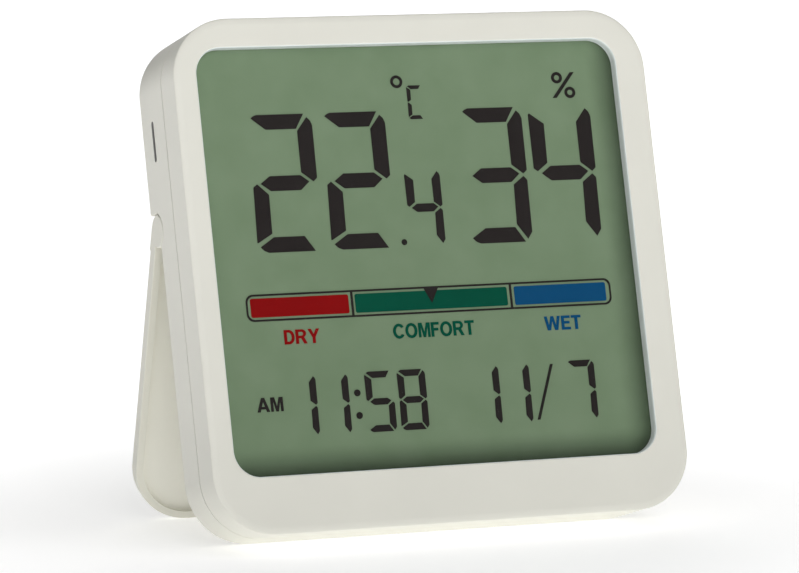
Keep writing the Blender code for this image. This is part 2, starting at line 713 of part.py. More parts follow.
def hinge_pins():
    for name, side in (("hinge_pin_left", -1), ("hinge_pin_right", 1)):
        pin = rod("X", PIN_RADIUS, *mirrored(side, PIN_X), (HINGE_Y, HINGE_Z), HOLE_STEPS)
        part(name, pin, STEEL, CASE)


def screw(name, centre, sizes):
    """A pan-head screw with a flat tip and a driver cross."""
    head, back, front, shank, tip = sizes
    profile = (
        (0.0, back), (head - SCREW_EDGE, back), (head, back - SCREW_EDGE), (head, front),
        (shank, front), (shank, tip + SCREW_EDGE), (shank * TIP_SHARE, tip), (0.0, tip),
    )
    fastener = turned(name, profile, centre, STEEL, CASE, HOLE_STEPS)
    place = Matrix.Translation((centre[0], 0, centre[1]))
    for angle in (45, 135):
        reach = head * CROSS_SHARE
        blade = box(about(0, reach), (back - CROSS_DEPTH, back + OVERRUN), about(0, CROSS_HALF))
        blade.transform(place @ Matrix.Rotation(math.radians(angle), 4, "Y"))
        cut(fastener, f"{name}_cross_{angle}", blade, CASE)


def fasteners():
    for number, side in enumerate(SIDES, 1):
        screw(f"case_screw_{number}", (side * CASE_SCREW_X, CASE_SCREW_Z), CASE_SCREW)
    for number, centre in enumerate(BOARD_SCREWS, 1):
        screw(f"board_screw_{number}", centre, BOARD_SCREW)


# ---------------------------------------------------------------- assembly
def stand_on_origin():
    """Move the whole station so that the middle of its underside is at the origin."""
    bpy.context.view_layer.update()
    graph = bpy.context.evaluated_depsgraph_get()
    corners = [
        item.matrix_world @ vertex.co
        for item in PARTS.objects if item.type == "MESH"
        for vertex in item.evaluated_get(graph).data.vertices
    ]
    lows = Vector(min(c[i] for c in corners) for i in range(3))
    highs = Vector(max(c[i] for c in corners) for i in range(3))
    STATION.location = (-(lows.x + highs.x) / 2, -(lows.y + highs.y) / 2, -lows.z)


def build():
    front_shell()
    display_lens()
    display_stack()
    lcd_frame()
    main_board()
    board_parts()
    power_parts()
    battery_cover()
    rear_shell()
    buttons()
    stand()
    hinge_pins()
    fasteners()
    stand_on_origin()
    bpy.context.view_layer.update()


build()
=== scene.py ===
import json
import math

import bmesh
import bpy
from mathutils import Matrix, Vector


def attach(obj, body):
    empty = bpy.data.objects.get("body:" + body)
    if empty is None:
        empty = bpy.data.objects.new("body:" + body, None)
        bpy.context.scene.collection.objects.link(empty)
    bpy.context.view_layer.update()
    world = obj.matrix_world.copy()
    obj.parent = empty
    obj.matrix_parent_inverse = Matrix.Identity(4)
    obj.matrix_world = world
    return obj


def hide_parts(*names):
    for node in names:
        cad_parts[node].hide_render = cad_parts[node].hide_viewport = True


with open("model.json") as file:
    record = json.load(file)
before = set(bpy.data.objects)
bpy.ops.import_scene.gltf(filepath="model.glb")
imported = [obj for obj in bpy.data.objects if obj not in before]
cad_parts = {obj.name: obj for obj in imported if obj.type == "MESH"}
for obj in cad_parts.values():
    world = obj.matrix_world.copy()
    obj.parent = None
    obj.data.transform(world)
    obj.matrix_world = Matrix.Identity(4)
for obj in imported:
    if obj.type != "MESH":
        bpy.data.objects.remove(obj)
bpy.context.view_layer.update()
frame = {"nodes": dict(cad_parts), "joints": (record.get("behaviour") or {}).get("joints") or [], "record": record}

# The looks of the home weather station. New pieces are drawn in millimetres in the case's own
# axes: X right, Y from the front face towards the back, Z up the face, with the origin at the
# middle of the front face. The stand has axes of its own, at its hinge, as if it were closed.

MM = 0.001
JOINTS = {joint["name"]: joint for joint in frame["joints"]}
SLOT_OF = {part["node"]: part["material_slot"] for part in frame["record"]["subparts"]}


# ---------------------------------------------------------------- axes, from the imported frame
def case_axes():
    """The matrix from the case's millimetres to the shared frame."""
    back = Vector(JOINTS["battery_cover_turn"]["axis"]).normalized()
    lean = math.atan2(-back.z, back.y)
    turn = Matrix.Rotation(-lean, 4, "X")
    upright = [turn.inverted() @ v.co for v in frame["nodes"]["front_shell"].data.vertices]
    lows, highs = (Vector(pick(p[i] for p in upright) for i in range(3)) for pick in (min, max))
    origin = Vector(((lows.x + highs.x) / 2, lows.y, (lows.z + highs.z) / 2))
    return turn @ Matrix.Translation(origin) @ Matrix.Scale(MM, 4)


CASE = case_axes()


def case_box(node):
    """A CAD node's lowest and highest corners in the case's axes."""
    inside = [CASE.inverted() @ v.co for v in frame["nodes"][node].data.vertices]
    return [Vector(pick(p[i] for p in inside) for i in range(3)) for pick in (min, max)]


def middle(node):
    """The middle of a CAD node as the case's face shows it: how far across and how far up."""
    low, high = case_box(node)
    return (low.x + high.x) / 2, (low.z + high.z) / 2


FRONT_HIGH = case_box("front_shell")[1]
REAR_LOW, REAR_HIGH = case_box("rear_shell")
LENS_LOW, LENS_HIGH = case_box("display_lens")
PANEL_FRONT = case_box("front_polariser")[0].y
COVER = middle("battery_cover")
SCREW = middle("case_screw_2")
HINGE = CASE.inverted() @ Vector(JOINTS["stand_fold"]["pos_m"])

# ---------------------------------------------------------------- sizes that several pieces share
HALF_W, HALF_H, DEPTH = FRONT_HIGH.x, FRONT_HIGH.z, REAR_HIGH.y
HULL = (-HALF_W, HALF_W, -HALF_H, HALF_H)
CORNER = 9.5
WALL = 1.6
SEAM = (FRONT_HIGH.y + REAR_LOW.y) / 2
SEAM_GAP = 0.2
SEAM_ROUND = 0.1

LENS_BORDER = 1.2           # how far the CAD lens reaches behind the window's edge
WINDOW = (
    LENS_LOW.x + LENS_BORDER, LENS_HIGH.x - LENS_BORDER,
    LENS_LOW.z + LENS_BORDER, LENS_HIGH.z - LENS_BORDER,
)
WINDOW_CORNER = 4.2

LOW_REAR = 13.0             # depth of the thin lower part
STEP_Z = 12.25              # height where the thick upper part begins
EAR_RADIUS = 2.55
PIN_HOLE = 1.1
BUTTONS = ("button_1", "button_2", "button_3")

CORNER_STEPS = 24
ROUND_STEPS = 64
HOLE_STEPS = 48
SMALL_STEPS = 32
PIN_STEPS = 24
EDGE_STEPS = 5
LEAST_RADIUS = 0.02         # of a corner that is drawn sharp
LEAST_EDGE = 0.0005         # shorter edges are dissolved after a cut
SHARP_ANGLE = math.radians(38)
FLAT_WEIGHT = 80            # how much a large flat face leads the shading of its rim


# ---------------------------------------------------------------- shape helpers
def corner_box(box, radii, y, steps=CORNER_STEPS):
    """Points round a rectangle (left, right, low, high) at one depth.

    The radii are for its top and its bottom corners.
    """
    left, right, low, high = box
    top, bottom = (max(radius, LEAST_RADIUS) for radius in radii)
    centres = (
        (right - top, high - top, top, 0), (left + top, high - top, top, 90),
        (left + bottom, low + bottom, bottom, 180), (right - bottom, low + bottom, bottom, 270),
    )
    points = []
    for x, z, radius, start in centres:
        for step in range(steps + 1):
            angle = math.radians(start + 90 * step / steps)
            points.append((x + radius * math.cos(angle), y, z + radius * math.sin(angle)))
    return points


def circle(radius, y, centre, steps=ROUND_STEPS, squeeze=1.0):
    """Points round a circle at one depth."""
    angles = [math.tau * step / steps for step in range(steps)]
    return [
        (centre[0] + radius * math.cos(a), y, centre[1] + radius * squeeze * math.sin(a)) for a in angles
    ]


def loft(rows, closed=False):
    """A solid whose skin runs through rows of points: closed joins the last row to the first."""
    bm = bmesh.new()
    rings = [[bm.verts.new(point) for point in row] for row in rows]
    following = rings[1:] + rings[:1] if closed else rings[1:]
    for ring, after in zip(rings, following):
        for i in range(len(ring)):
            j = (i + 1) % len(ring)
            bm.faces.new((ring[i], ring[j], after[j], after[i]))
    if not closed:
        bm.faces.new(rings[0])
        bm.faces.new(rings[-1])
    bmesh.ops.recalc_face_normals(bm, faces=bm.faces)
    return bm


def shrunk(box, inset):
    """A rectangle made smaller by the inset on every side."""
    left, right, low, high = box
    return (left + inset, right - inset, low + inset, high - inset)


def slab(box, radii, front, back, front_edge=0.0, back_edge=0.0, steps=CORNER_STEPS):
    """A plate between two depths with rounded corners, its front and back rims rounded too."""
    rows = []
    for start, edge, way in ((front, front_edge, 1), (back, back_edge, -1)):
        count = EDGE_STEPS if edge else 0
        for step in range(count + 1)[::way]:
            angle = math.pi / 2 * step / count if count else math.pi / 2
            inset = edge * (1 - math.sin(angle))
            y = start + way * edge * (1 - math.cos(angle))
            smaller = [radius - inset for radius in radii]
            rows.append(corner_box(shrunk(box, inset), smaller, y, steps))
    return loft(rows)


def turned(profile, centre, steps=ROUND_STEPS):
    """A solid of revolution about Y through (radius, y) pairs."""
    return loft([circle(radius, y, centre, steps) for radius, y in profile])


def rod_x(radius, start, end, y, z, edge=0.0, steps=ROUND_STEPS):
    """A round bar along X, with small rounded ends."""
    ends = [(radius - edge, start), (radius, start + edge), (radius, end - edge), (radius - edge, end)]
    ends = ends if edge else ends[1:3]
    angles = [math.tau * step / steps for step in range(steps)]
    rows = [[(x, y + size * math.cos(a), z + size * math.sin(a)) for a in angles] for size, x in ends]
    return loft(rows)


def prism(outline, front, back):
    """A flat plate from an outline of (x, z) points."""
    return loft([[(x, y, z) for x, z in outline] for y in (front, back)])


def ring_plate(outer, inner, front, back):
    """A flat plate with a hole: outer and inner give the points of a row for a depth."""
    return loft([outer(front), outer(back), inner(back), inner(front)], closed=True)


def merged(solids):
    """Several separate solids in one mesh."""
    whole = bmesh.new()
    for solid in solids:
        mesh = bpy.data.meshes.new("part")
        solid.to_mesh(mesh)
        solid.free()
        whole.from_mesh(mesh)
        bpy.data.meshes.remove(mesh)
    return whole


def scene_object(name, bm):
    """Turn a solid into an object of the scene."""
    mesh = bpy.data.meshes.new(name)
    bm.to_mesh(mesh)
    bm.free()
    item = bpy.data.objects.new(name, mesh)
    bpy.context.scene.collection.objects.link(item)
    return item


def carve(bm, tools):
    """Join or cut a solid with others in turn: tools lists (operation, solid)."""
    item = scene_object("carved", bm)
    helpers = []
    for operation, solid in tools:
        helper = scene_object("tool", solid)
        modifier = item.modifiers.new("carve", "BOOLEAN")
        modifier.operation = operation
        modifier.solver = "EXACT"
        modifier.object = helper
        helpers.append(helper)
    graph = bpy.context.evaluated_depsgraph_get()
    mesh = bpy.data.meshes.new_from_object(item.evaluated_get(graph))
    result = bmesh.new()
    result.from_mesh(mesh)
    for used in (item, *helpers):
        bpy.data.objects.remove(used, do_unlink=True)
    bpy.data.meshes.remove(mesh)
    bmesh.ops.dissolve_degenerate(result, dist=LEAST_EDGE, edges=result.edges)
    return result


def piece(name, bm, place, body, looks, nodes=()):
    """Put a finished solid into the scene, on its body, with its material."""
    bm.transform(place)
    item = scene_object(name, bm)
    for look in looks if isinstance(looks, tuple) else (looks,):
        item.data.materials.append(look)
    item.data.shade_smooth()
    item.data.set_sharp_from_angle(angle=SHARP_ANGLE)
    normals = item.modifiers.new("flat faces stay flat", "WEIGHTED_NORMAL")
    normals.keep_sharp = True
    normals.weight = FLAT_WEIGHT
    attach(item, body)
    if nodes:
        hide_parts(*nodes)


# ---------------------------------------------------------------- material helpers
def add(tree, kind, inputs=None, **settings):
    """Make a shader node: inputs are numbers, colours or sockets to link."""
    made = tree.nodes.new(kind)
    for key, value in settings.items():
        setattr(made, key, value)
    for key, value in (inputs or {}).items():
        if isinstance(value, bpy.types.NodeSocket):
            tree.links.new(value, made.inputs[key])
        else:
            made.inputs[key].default_value = value
    return made


def new_material(name):
    """A material, its node tree and its shader."""
    made = bpy.data.materials.new(name)
    made.use_nodes = True
    return made, made.node_tree, made.node_tree.nodes["Principled BSDF"]


def noise(tree, size, detail=2.0, vector=None):
    """Noise whose features are about size metres across."""
    place = vector or add(tree, "ShaderNodeTexCoord").outputs["Object"]
    settings = {"Vector": place, "Scale": 1.0 / size, "Detail": detail}
    return add(tree, "ShaderNodeTexNoise", settings).outputs["Fac"]


def spread(tree, value, low, high, from_low=0.3, from_high=0.7):
    """Map a noise value onto a range."""
    limits = {"Value": value, "From Min": from_low, "From Max": from_high, "To Min": low, "To Max": high}
    return add(tree, "ShaderNodeMapRange", limits).outputs["Result"]


def blend_colours(tree, factor, first, second):
    """Mix two plain colours by a socket's value."""
    by_value, first_colour, second_colour, result = 0, 6, 7, 2
    inputs = {by_value: factor, first_colour: (*first, 1.0), second_colour: (*second, 1.0)}
    return add(tree, "ShaderNodeMix", inputs, data_type="RGBA").outputs[result]


def rough_skin(tree, shader, low, high, grain, height):
    """Roughness between two values and bump, both from one grain whose size and height are in metres."""
    fine = noise(tree, grain, 3.0)
    tree.links.new(spread(tree, fine, low, high), shader.inputs["Roughness"])
    bump = add(tree, "ShaderNodeBump", {"Height": fine, "Strength": 1.0, "Distance": height})
    tree.links.new(bump.outputs["Normal"], shader.inputs["Normal"])


PLASTIC_IOR = 1.46
PLASTIC_GRAIN = (0.0002, 0.0000035)     # size and height in metres
PLASTIC_DRIFT = 0.02                    # metres over which its tone drifts
PLASTIC_UNEVEN = 0.05                   # how much its roughness varies either way
METAL_GRAIN = (0.0004, 0.000002)
METAL_STREAK = 0.002
METAL_STRETCH = (1.0, 6.0, 1.0)
METAL_DARKER = 0.86
METAL_UNEVEN = (0.06, 0.08)


def plastic(name, colour, roughness, tone=0.02, gloss=0.5):
    """Moulded plastic: a slow drift of tone, fine spark-eroded grain and uneven gloss."""
    made, tree, shader = new_material(name)
    darker = tuple(c * (1 - tone) for c in colour)
    lighter = tuple(min(1.0, c * (1 + tone)) for c in colour)
    drift = spread(tree, noise(tree, PLASTIC_DRIFT, 3.0), 0.0, 1.0)
    tree.links.new(blend_colours(tree, drift, darker, lighter), shader.inputs["Base Color"])
    rough_skin(tree, shader, roughness - PLASTIC_UNEVEN, roughness + PLASTIC_UNEVEN, *PLASTIC_GRAIN)
    shader.inputs["IOR"].default_value = PLASTIC_IOR
    shader.inputs["Specular IOR Level"].default_value = gloss
    return made


def metal(name, colour, roughness):
    """Plated or pressed metal with streaks of gloss and a faint grain."""
    made, tree, shader = new_material(name)
    place = add(tree, "ShaderNodeTexCoord").outputs["Object"]
    mapping = add(tree, "ShaderNodeMapping", {"Vector": place, "Scale": METAL_STRETCH})
    streaks = spread(tree, noise(tree, METAL_STREAK, 4.0, mapping.outputs["Vector"]), 0.0, 1.0)
    darker = tuple(c * METAL_DARKER for c in colour)
    tree.links.new(blend_colours(tree, streaks, darker, colour), shader.inputs["Base Color"])
    rough_skin(tree, shader, roughness - METAL_UNEVEN[0], roughness + METAL_UNEVEN[1], *METAL_GRAIN)
    shader.inputs["Metallic"].default_value = 1.0
    return made


def face_height(tree):
    """How far up the case's face a point is, in metres from the middle."""
    place = add(tree, "ShaderNodeTexCoord").outputs["Object"]
    up = (CASE.to_3x3() @ Vector((0, 0, 1))).normalized()
    base = CASE.translation.dot(up)
    along = add(tree, "ShaderNodeVectorMath", {0: place, 1: tuple(up)}, operation="DOT_PRODUCT")
    terms = {0: along.outputs["Value"], 1: base}
    return add(tree, "ShaderNodeMath", terms, operation="SUBTRACT").outputs[0]


def product(tree, first, second):
    """One value times another."""
    return add(tree, "ShaderNodeMath", {0: first, 1: second}, operation="MULTIPLY").outputs[0]


def ramp(tree, value, start, end, low, high):
    """A smooth step from low to high between two places, given in millimetres."""
    places = {"From Min": start * MM, "From Max": end * MM}
    limits = {"Value": value, **places, "To Min": low, "To Max": high}
    return add(tree, "ShaderNodeMapRange", limits, interpolation_type="SMOOTHSTEP").outputs["Result"]


PANEL_DARK = (0.186, 0.267, 0.159)
PANEL_LIGHT = (0.211, 0.294, 0.183)
PANEL_MOTTLE = 0.006        # metres
PANEL_ROUGHNESS = (0.45, 0.55)
PANEL_GRAIN = (0.0003, 0.000001)
PANEL_GLOSS = 0.1
# Painted shade on the panel: where it is darkened, in millimetres from that edge of the window, and the part of
# its colour that is left.
RIGHT_SHADE = (-4.8, 0.6, 0.41)
LOW_SHADE = (-0.2, 4.8, 0.35)
TOP_SHADE = (-1.6, 0.3, 0.92)
LEFT_SHADE = (0.0, 0.9, 0.92)
PANEL_FALL = (0.99, 1.02)   # painted light: the part of its colour kept at its lower and at its upper edge


def painted_panel_shade(tree):
    """Painted shade: the part of its colour that each place of the display's panel keeps."""
    place = add(tree, "ShaderNodeTexCoord").outputs["Object"]
    across = add(tree, "ShaderNodeSeparateXYZ", {"Vector": place}).outputs["X"]
    up = face_height(tree)
    left, right, low, high = WINDOW
    shades = [
        ramp(tree, across, right + RIGHT_SHADE[0], right + RIGHT_SHADE[1], 1.0, RIGHT_SHADE[2]),
        ramp(tree, up, low + LOW_SHADE[0], low + LOW_SHADE[1], LOW_SHADE[2], 1.0),
        ramp(tree, up, high + TOP_SHADE[0], high + TOP_SHADE[1], 1.0, TOP_SHADE[2]),
        ramp(tree, across, left + LEFT_SHADE[0], left + LEFT_SHADE[1], LEFT_SHADE[2], 1.0),
    ]
    total = ramp(tree, up, low, high, *PANEL_FALL)
    for shade in shades:
        total = product(tree, total, shade)
    return total


def liquid_crystal():
    """Grey-green panel, mottled, with painted shade along its lower and right edges, faintly along its top and
    left edges, and a little darker towards its bottom.
    """
    made, tree, shader = new_material("liquid_crystal")
    mottle = spread(tree, noise(tree, PANEL_MOTTLE, 4.0), 0.0, 1.0)
    green = blend_colours(tree, mottle, PANEL_DARK, PANEL_LIGHT)
    scaled = add(tree, "ShaderNodeVectorMath", {0: green, "Scale": painted_panel_shade(tree)}, operation="SCALE")
    tree.links.new(scaled.outputs["Vector"], shader.inputs["Base Color"])
    rough_skin(tree, shader, *PANEL_ROUGHNESS, *PANEL_GRAIN)
    shader.inputs["Specular IOR Level"].default_value = PANEL_GLOSS
    return made


LENS_TINT = (0.012, 0.016, 0.012, 1.0)
LENS_HAZE = 0.0004          # metres
LENS_ROUGHNESS = (0.22, 0.30)
LENS_GLOSS = (0.012, 0.6)   # straight on, and at a glancing angle
LENS_GLOSS_RISE = 5.0


def clear_acrylic():
    """Clear lens with an anti-glare face: only its gloss shows, more at a glancing angle."""
    made, tree, shader = new_material("clear_acrylic")
    haze = spread(tree, noise(tree, LENS_HAZE, 2.0), *LENS_ROUGHNESS)
    tree.links.new(haze, shader.inputs["Roughness"])
    shader.inputs["Base Color"].default_value = LENS_TINT
    slant = add(tree, "ShaderNodeLayerWeight", {"Blend": 0.5}).outputs["Facing"]
    gloss = add(tree, "ShaderNodeMath", {0: slant, 1: LENS_GLOSS_RISE}, operation="POWER").outputs[0]
    limits = {"Value": gloss, "To Min": LENS_GLOSS[0], "To Max": LENS_GLOSS[1]}
    tree.links.new(add(tree, "ShaderNodeMapRange", limits).outputs["Result"], shader.inputs["Alpha"])
    return made


BOARD_MASK, BOARD_TRACKS = (0.012, 0.13, 0.05), (0.03, 0.24, 0.09)
TRACK_PATTERN = {"Scale": 160.0, "Mortar Size": 0.06}


def circuit_board():
    """Green solder mask over copper tracks, which show as lighter lines."""
    made, tree, shader = new_material("circuit_board")
    place = add(tree, "ShaderNodeTexCoord").outputs["Object"]
    tracks = add(tree, "ShaderNodeTexBrick", {"Vector": place, **TRACK_PATTERN})
    lines = spread(tree, tracks.outputs["Fac"], 0.0, 1.0, 0.0, 1.0)
    tree.links.new(blend_colours(tree, lines, BOARD_MASK, BOARD_TRACKS), shader.inputs["Base Color"])
    rough_skin(tree, shader, 0.3, 0.42, 0.0003, 0.000003)
    return made


WHITE = plastic("white_plastic", (0.800, 0.792, 0.715), 0.45)
# A lighter, bluish copy of the white plastic for the window's wall and the lens's edges: painted light.
PAINTED_LIGHT_REVEAL = plastic("window_reveal_painted_light", (0.90, 0.95, 0.94), 0.4)
# A dark grey copy of the plastic for the rear shell's inside and the air slot's walls: painted shade.
PAINTED_SHADE_INSIDE = plastic("housing_inside_painted_shade", (0.34, 0.34, 0.33), 0.6, 0.05)
# A lighter copy of the stand's plastic for the floor and walls of its tray: painted light.
PAINTED_LIGHT_TRAY = plastic("stand_tray", (0.90, 0.89, 0.81), 0.5)
STAND_WHITE = plastic("stand_plastic", (0.795, 0.785, 0.700), 0.5)
KEY_WHITE = plastic("key_plastic", (0.770, 0.760, 0.690), 0.42)
INK_GLOSS = 0.06
INK = plastic("display_ink", (0.0245, 0.0205, 0.020), 0.55, 0.08, gloss=INK_GLOSS)
RED = plastic("scale_red", (0.258, 0.0038, 0.0043), 0.5, 0.05, gloss=INK_GLOSS)
GREEN = plastic("scale_green", (0.0012, 0.080, 0.0465), 0.5, 0.05, gloss=INK_GLOSS)
BLUE = plastic("scale_blue", (0.0046, 0.074, 0.188), 0.5, 0.05, gloss=INK_GLOSS)
SLOT_LOOKS = {
    "display": liquid_crystal(),
    "lens": clear_acrylic(),
    "board": circuit_board(),
    "shell": WHITE,
    "stand_plastic": STAND_WHITE,
    "keys": KEY_WHITE,
    "foil": metal("reflector_foil", (0.55, 0.60, 0.52), 0.35),
    "inner_plastic": plastic("inner_plastic", (0.60, 0.60, 0.58), 0.6),
    "conductive_rubber": plastic("conductive_rubber", (0.05, 0.05, 0.05), 0.8, 0.1),
    "black_resin": plastic("black_resin", (0.02, 0.02, 0.02), 0.3, 0.1),
    "capacitor": plastic("capacitor_ceramic", (0.45, 0.30, 0.18), 0.5, 0.08),
    "bright_steel": metal("bright_steel", (0.62, 0.62, 0.60), 0.25),
    "spring_strip": metal("nickel_strip", (0.60, 0.57, 0.50), 0.3),
    "screw_steel": metal("screw_steel", (0.42, 0.42, 0.41), 0.35),
}


def dress_cad_nodes():
    """Give every CAD node that stays in view the material of its slot."""
    for name, item in frame["nodes"].items():
        item.data.materials.clear()
        item.data.materials.append(SLOT_LOOKS[SLOT_OF[name]])


# ---------------------------------------------------------------- front shell and lens
BEVEL_WIDTH = 1.15
BEVEL_DEPTH = 0.35
BEVEL_START = math.radians(20)      # along its curve where the bevel leaves the flat face
BEVEL_STEPS = 10
LIP_ROUND = 0.3
PAINTED_LIGHT_FRONT = 0.3 * LIP_ROUND      # depth where the painted light on the window's wall begins
FRONT_WALL_BACK = 1.75
INNER_CORNER = 7.2
BOSS_RADIUS, BOSS_LAP, BOSS_SHORT = 1.9, 0.6, 0.5
SCREW_HOLE, BOSS_HOLE_FRONT = 1.2, 2.6
LENS_SLACK = 0.04
LENS_EASE = 0.08


def face_bevel():
    """The rows of the shallow curved bevel, from the side wall in to the flat face."""
    rows = []
    for step in range(BEVEL_STEPS, -1, -1):
        angle = BEVEL_START + (math.pi / 2 - BEVEL_START) * step / BEVEL_STEPS
        inset = BEVEL_WIDTH * (1 - math.sin(angle)) / (1 - math.sin(BEVEL_START))
        y = BEVEL_DEPTH * (1 - math.cos(angle) / math.cos(BEVEL_START))
        rows.append((shrunk(HULL, inset), CORNER - inset, y))
    return rows


def window_lip():
    """The rows of the window's rounded lip, from the flat face in to the window's wall."""
    rows = []
    for step in range(EDGE_STEPS + 1):
        angle = math.pi / 2 * step / EDGE_STEPS
        grow = LIP_ROUND * (1 - math.sin(angle))
        rows.append((shrunk(WINDOW, -grow), WINDOW_CORNER + grow, LIP_ROUND * (1 - math.cos(angle))))
    return rows


def in_window(point, margin=0.1):
    """Whether a point lies within the window or just past its edge."""
    left, right, low, high = shrunk(WINDOW, -margin)
    return left < point.x < right and low < point.z < high


def front_bezel():
    """Front shell: outer wall, curved bevel, flat face, rounded window lip and its inside."""
    seam = SEAM - SEAM_GAP / 2
    rows = [(shrunk(HULL, SEAM_ROUND), CORNER - SEAM_ROUND, seam), (HULL, CORNER, seam - SEAM_ROUND)]
    rows += face_bevel() + window_lip()
    rows.append((WINDOW, WINDOW_CORNER, FRONT_WALL_BACK))
    rows += [(shrunk(HULL, WALL), INNER_CORNER, y) for y in (FRONT_WALL_BACK, seam)]
    bezel = loft([corner_box(box, (corner, corner), y) for box, corner, y in rows], closed=True)
    # The window's wall behind the lip gets the lighter, bluish plastic as painted light.
    for face in bezel.faces:
        centre = face.calc_center_median()
        face.material_index = int(in_window(centre) and centre.y > PAINTED_LIGHT_FRONT)
    boss = [(BOSS_RADIUS, FRONT_WALL_BACK - BOSS_LAP), (BOSS_RADIUS, seam - BOSS_SHORT)]
    hole = [(SCREW_HOLE, BOSS_HOLE_FRONT), (SCREW_HOLE, seam)]
    tools = []
    for side in (-1, 1):
        centre = (side * SCREW[0], SCREW[1])
        tools.append(("UNION", turned(boss, centre, SMALL_STEPS)))
        tools.append(("DIFFERENCE", turned(hole, centre, SMALL_STEPS)))
    piece("front_bezel", carve(bezel, tools), CASE, "case", (WHITE, PAINTED_LIGHT_REVEAL), ["front_shell"])


def clear_lens():
    """The lens, which fills the window from its rounded lip back to the display. Its edges get the lighter, bluish
    plastic as painted light.
    """
    corner = WINDOW_CORNER - LENS_SLACK
    outline = shrunk(WINDOW, LENS_SLACK)
    lens = slab(outline, (corner, corner), LENS_LOW.y, LENS_HIGH.y, LENS_EASE, LENS_EASE)
    for face in lens.faces:
        facing_sideways = abs(face.normal.y) < 0.5
        face.material_index = int(facing_sideways)
    piece("clear_lens", lens, CASE, "case", (SLOT_LOOKS["lens"], PAINTED_LIGHT_REVEAL), ["display_lens"])


# ---------------------------------------------------------------- rear shell
REAR_EDGE, LOW_REAR_EDGE = 0.6, 0.25
BLOCK_LAP = 2.0             # how far the thick block reaches into the thin one
STEP_CORNER = 0.3
NOSE_RADIUS, NOSE_X, NOSE_LAP, NOSE_STEPS = 2.7, 31.5, 1, 24
GROOVE_RADIUS, GROOVE_PAST = 2.8, 2
PIN_HOLE_X, PIN_HOLE_PAST = 27.0, 0.2
HOLLOW = (6.0, 10.0)        # front and back of the space for the board
BEAM = (3.5, 14.5)          # height of the solid beam that holds the hinge's pins
BEAM_FRONT = 8.0
LOW_HOLLOW_BACK = 11.5
SLOT_Y, SLOT_Z, SLOT_HALF, SLOT_REACH, SLOT_STEPS = 11.56, 23.2, 0.485, 3.2, 8
SLOT_CUT = (-1, 3)          # from outside the left wall to inside it

# Round shapes as (radius, depth) pairs: the last pair of a hole flares at the outer face.
PILLAR = ((2.7, SEAM + 0.6), (2.7, 12.2))
PILLAR_HOLE = ((SCREW_HOLE, 6.0), (SCREW_HOLE, 12.5))
HEAD_HOLE = ((2.3, 11.7), (2.3, 12.85), (2.55, 13.1))
BUTTON_HOLE = ((2.9, 10.0), (2.9, 12.8), (3.15, 13.1))
BAY_WALL = ((14.3, 8.0), (14.3, 12.0))
CELL_BAY = ((12.8, 7.0), (12.8, 10.7))
BAY_THROAT = ((11.75, 10.0), (11.75, 12.5))
COVER_SEAT = ((13.3, 12.0), (13.3, 12.8), (13.6, 13.1))
COVER_STEPS = 96
# The bayonet's entry across the bay, turned away from where the cover's lugs rest.
ENTRY_BOX, ENTRY_ROUND, ENTRY_DEPTHS = (-12.7, 12.7, -2.5, 2.5), 0.3, (10.0, 12.6)
ENTRY_TURN = math.radians(45)
# The tongues at the top that the front shell hooks over: lowest, highest, front and back of each part.
TONGUE_X, TONGUE_HALF, TONGUE_ROUND = 18.0, 3.0, 0.2
TONGUE_PARTS = ((36.6, 38.1, 5.6, 8.0), (36.6, 39.2, 7.4, 9.2))


def rear_blocks():
    """The thin full-height block, the thick upper block and the hinge's round nose."""
    seam = SEAM + SEAM_GAP / 2
    thin = slab(HULL, (CORNER, CORNER), seam, LOW_REAR, SEAM_ROUND, LOW_REAR_EDGE)
    upper = (-HALF_W, HALF_W, STEP_Z, HALF_H)
    thick = slab(upper, (CORNER, STEP_CORNER), LOW_REAR - BLOCK_LAP, DEPTH, 0.0, REAR_EDGE)
    arc = [math.radians(-180 * step / NOSE_STEPS) for step in range(NOSE_STEPS + 1)]
    outline = [(HINGE.y + NOSE_RADIUS * math.cos(a), HINGE.z + NOSE_RADIUS * math.sin(a)) for a in arc]
    outline += [(HINGE.y + side * NOSE_RADIUS, STEP_Z + NOSE_LAP) for side in (-1, 1)]
    nose = loft([[(x, y, z) for y, z in outline] for x in (-NOSE_X, NOSE_X)])
    return thin, thick, nose


def rear_cuts():
    """What is hollow in the rear shell: its inside, the hinge's grooves and holes, and the air slot."""
    inner = shrunk(HULL, WALL)
    corner = CORNER - WALL
    left, right, low, high = inner
    cuts = [
        slab(inner, (corner, corner), *HOLLOW),
        slab((left, right, BEAM[1], high), (corner, 0), BEAM_FRONT, DEPTH - WALL),
        slab((left, right, low, BEAM[0]), (0, corner), BEAM_FRONT, LOW_HOLLOW_BACK),
    ]
    for side in (-1, 1):
        groove = sorted((side * NOSE_X, side * (HALF_W + GROOVE_PAST)))
        cuts.append(rod_x(GROOVE_RADIUS, *groove, HINGE.y, HINGE.z))
        hole = sorted((side * PIN_HOLE_X, side * (NOSE_X + PIN_HOLE_PAST)))
        cuts.append(rod_x(PIN_HOLE, *hole, HINGE.y, HINGE.z, steps=PIN_STEPS))
    slot_box = (SLOT_Y - SLOT_HALF, SLOT_Y + SLOT_HALF, SLOT_Z - SLOT_REACH, SLOT_Z + SLOT_REACH)
    slot = corner_box(slot_box, (SLOT_HALF, SLOT_HALF), 0, SLOT_STEPS)
    cuts.append(loft([[(past - HALF_W, y, z) for y, _, z in slot] for past in SLOT_CUT]))
    return [("DIFFERENCE", cut) for cut in cuts]


def screw_pillar(side):
    """A pillar for a case screw, with the screw's hole and the flared pocket of its head."""
    centre = (side * SCREW[0], SCREW[1])
    return [
        ("UNION", turned(PILLAR, centre, SMALL_STEPS)),
        ("DIFFERENCE", turned(PILLAR_HOLE, centre, SMALL_STEPS)),
        ("DIFFERENCE", turned(HEAD_HOLE, centre, HOLE_STEPS)),
    ]


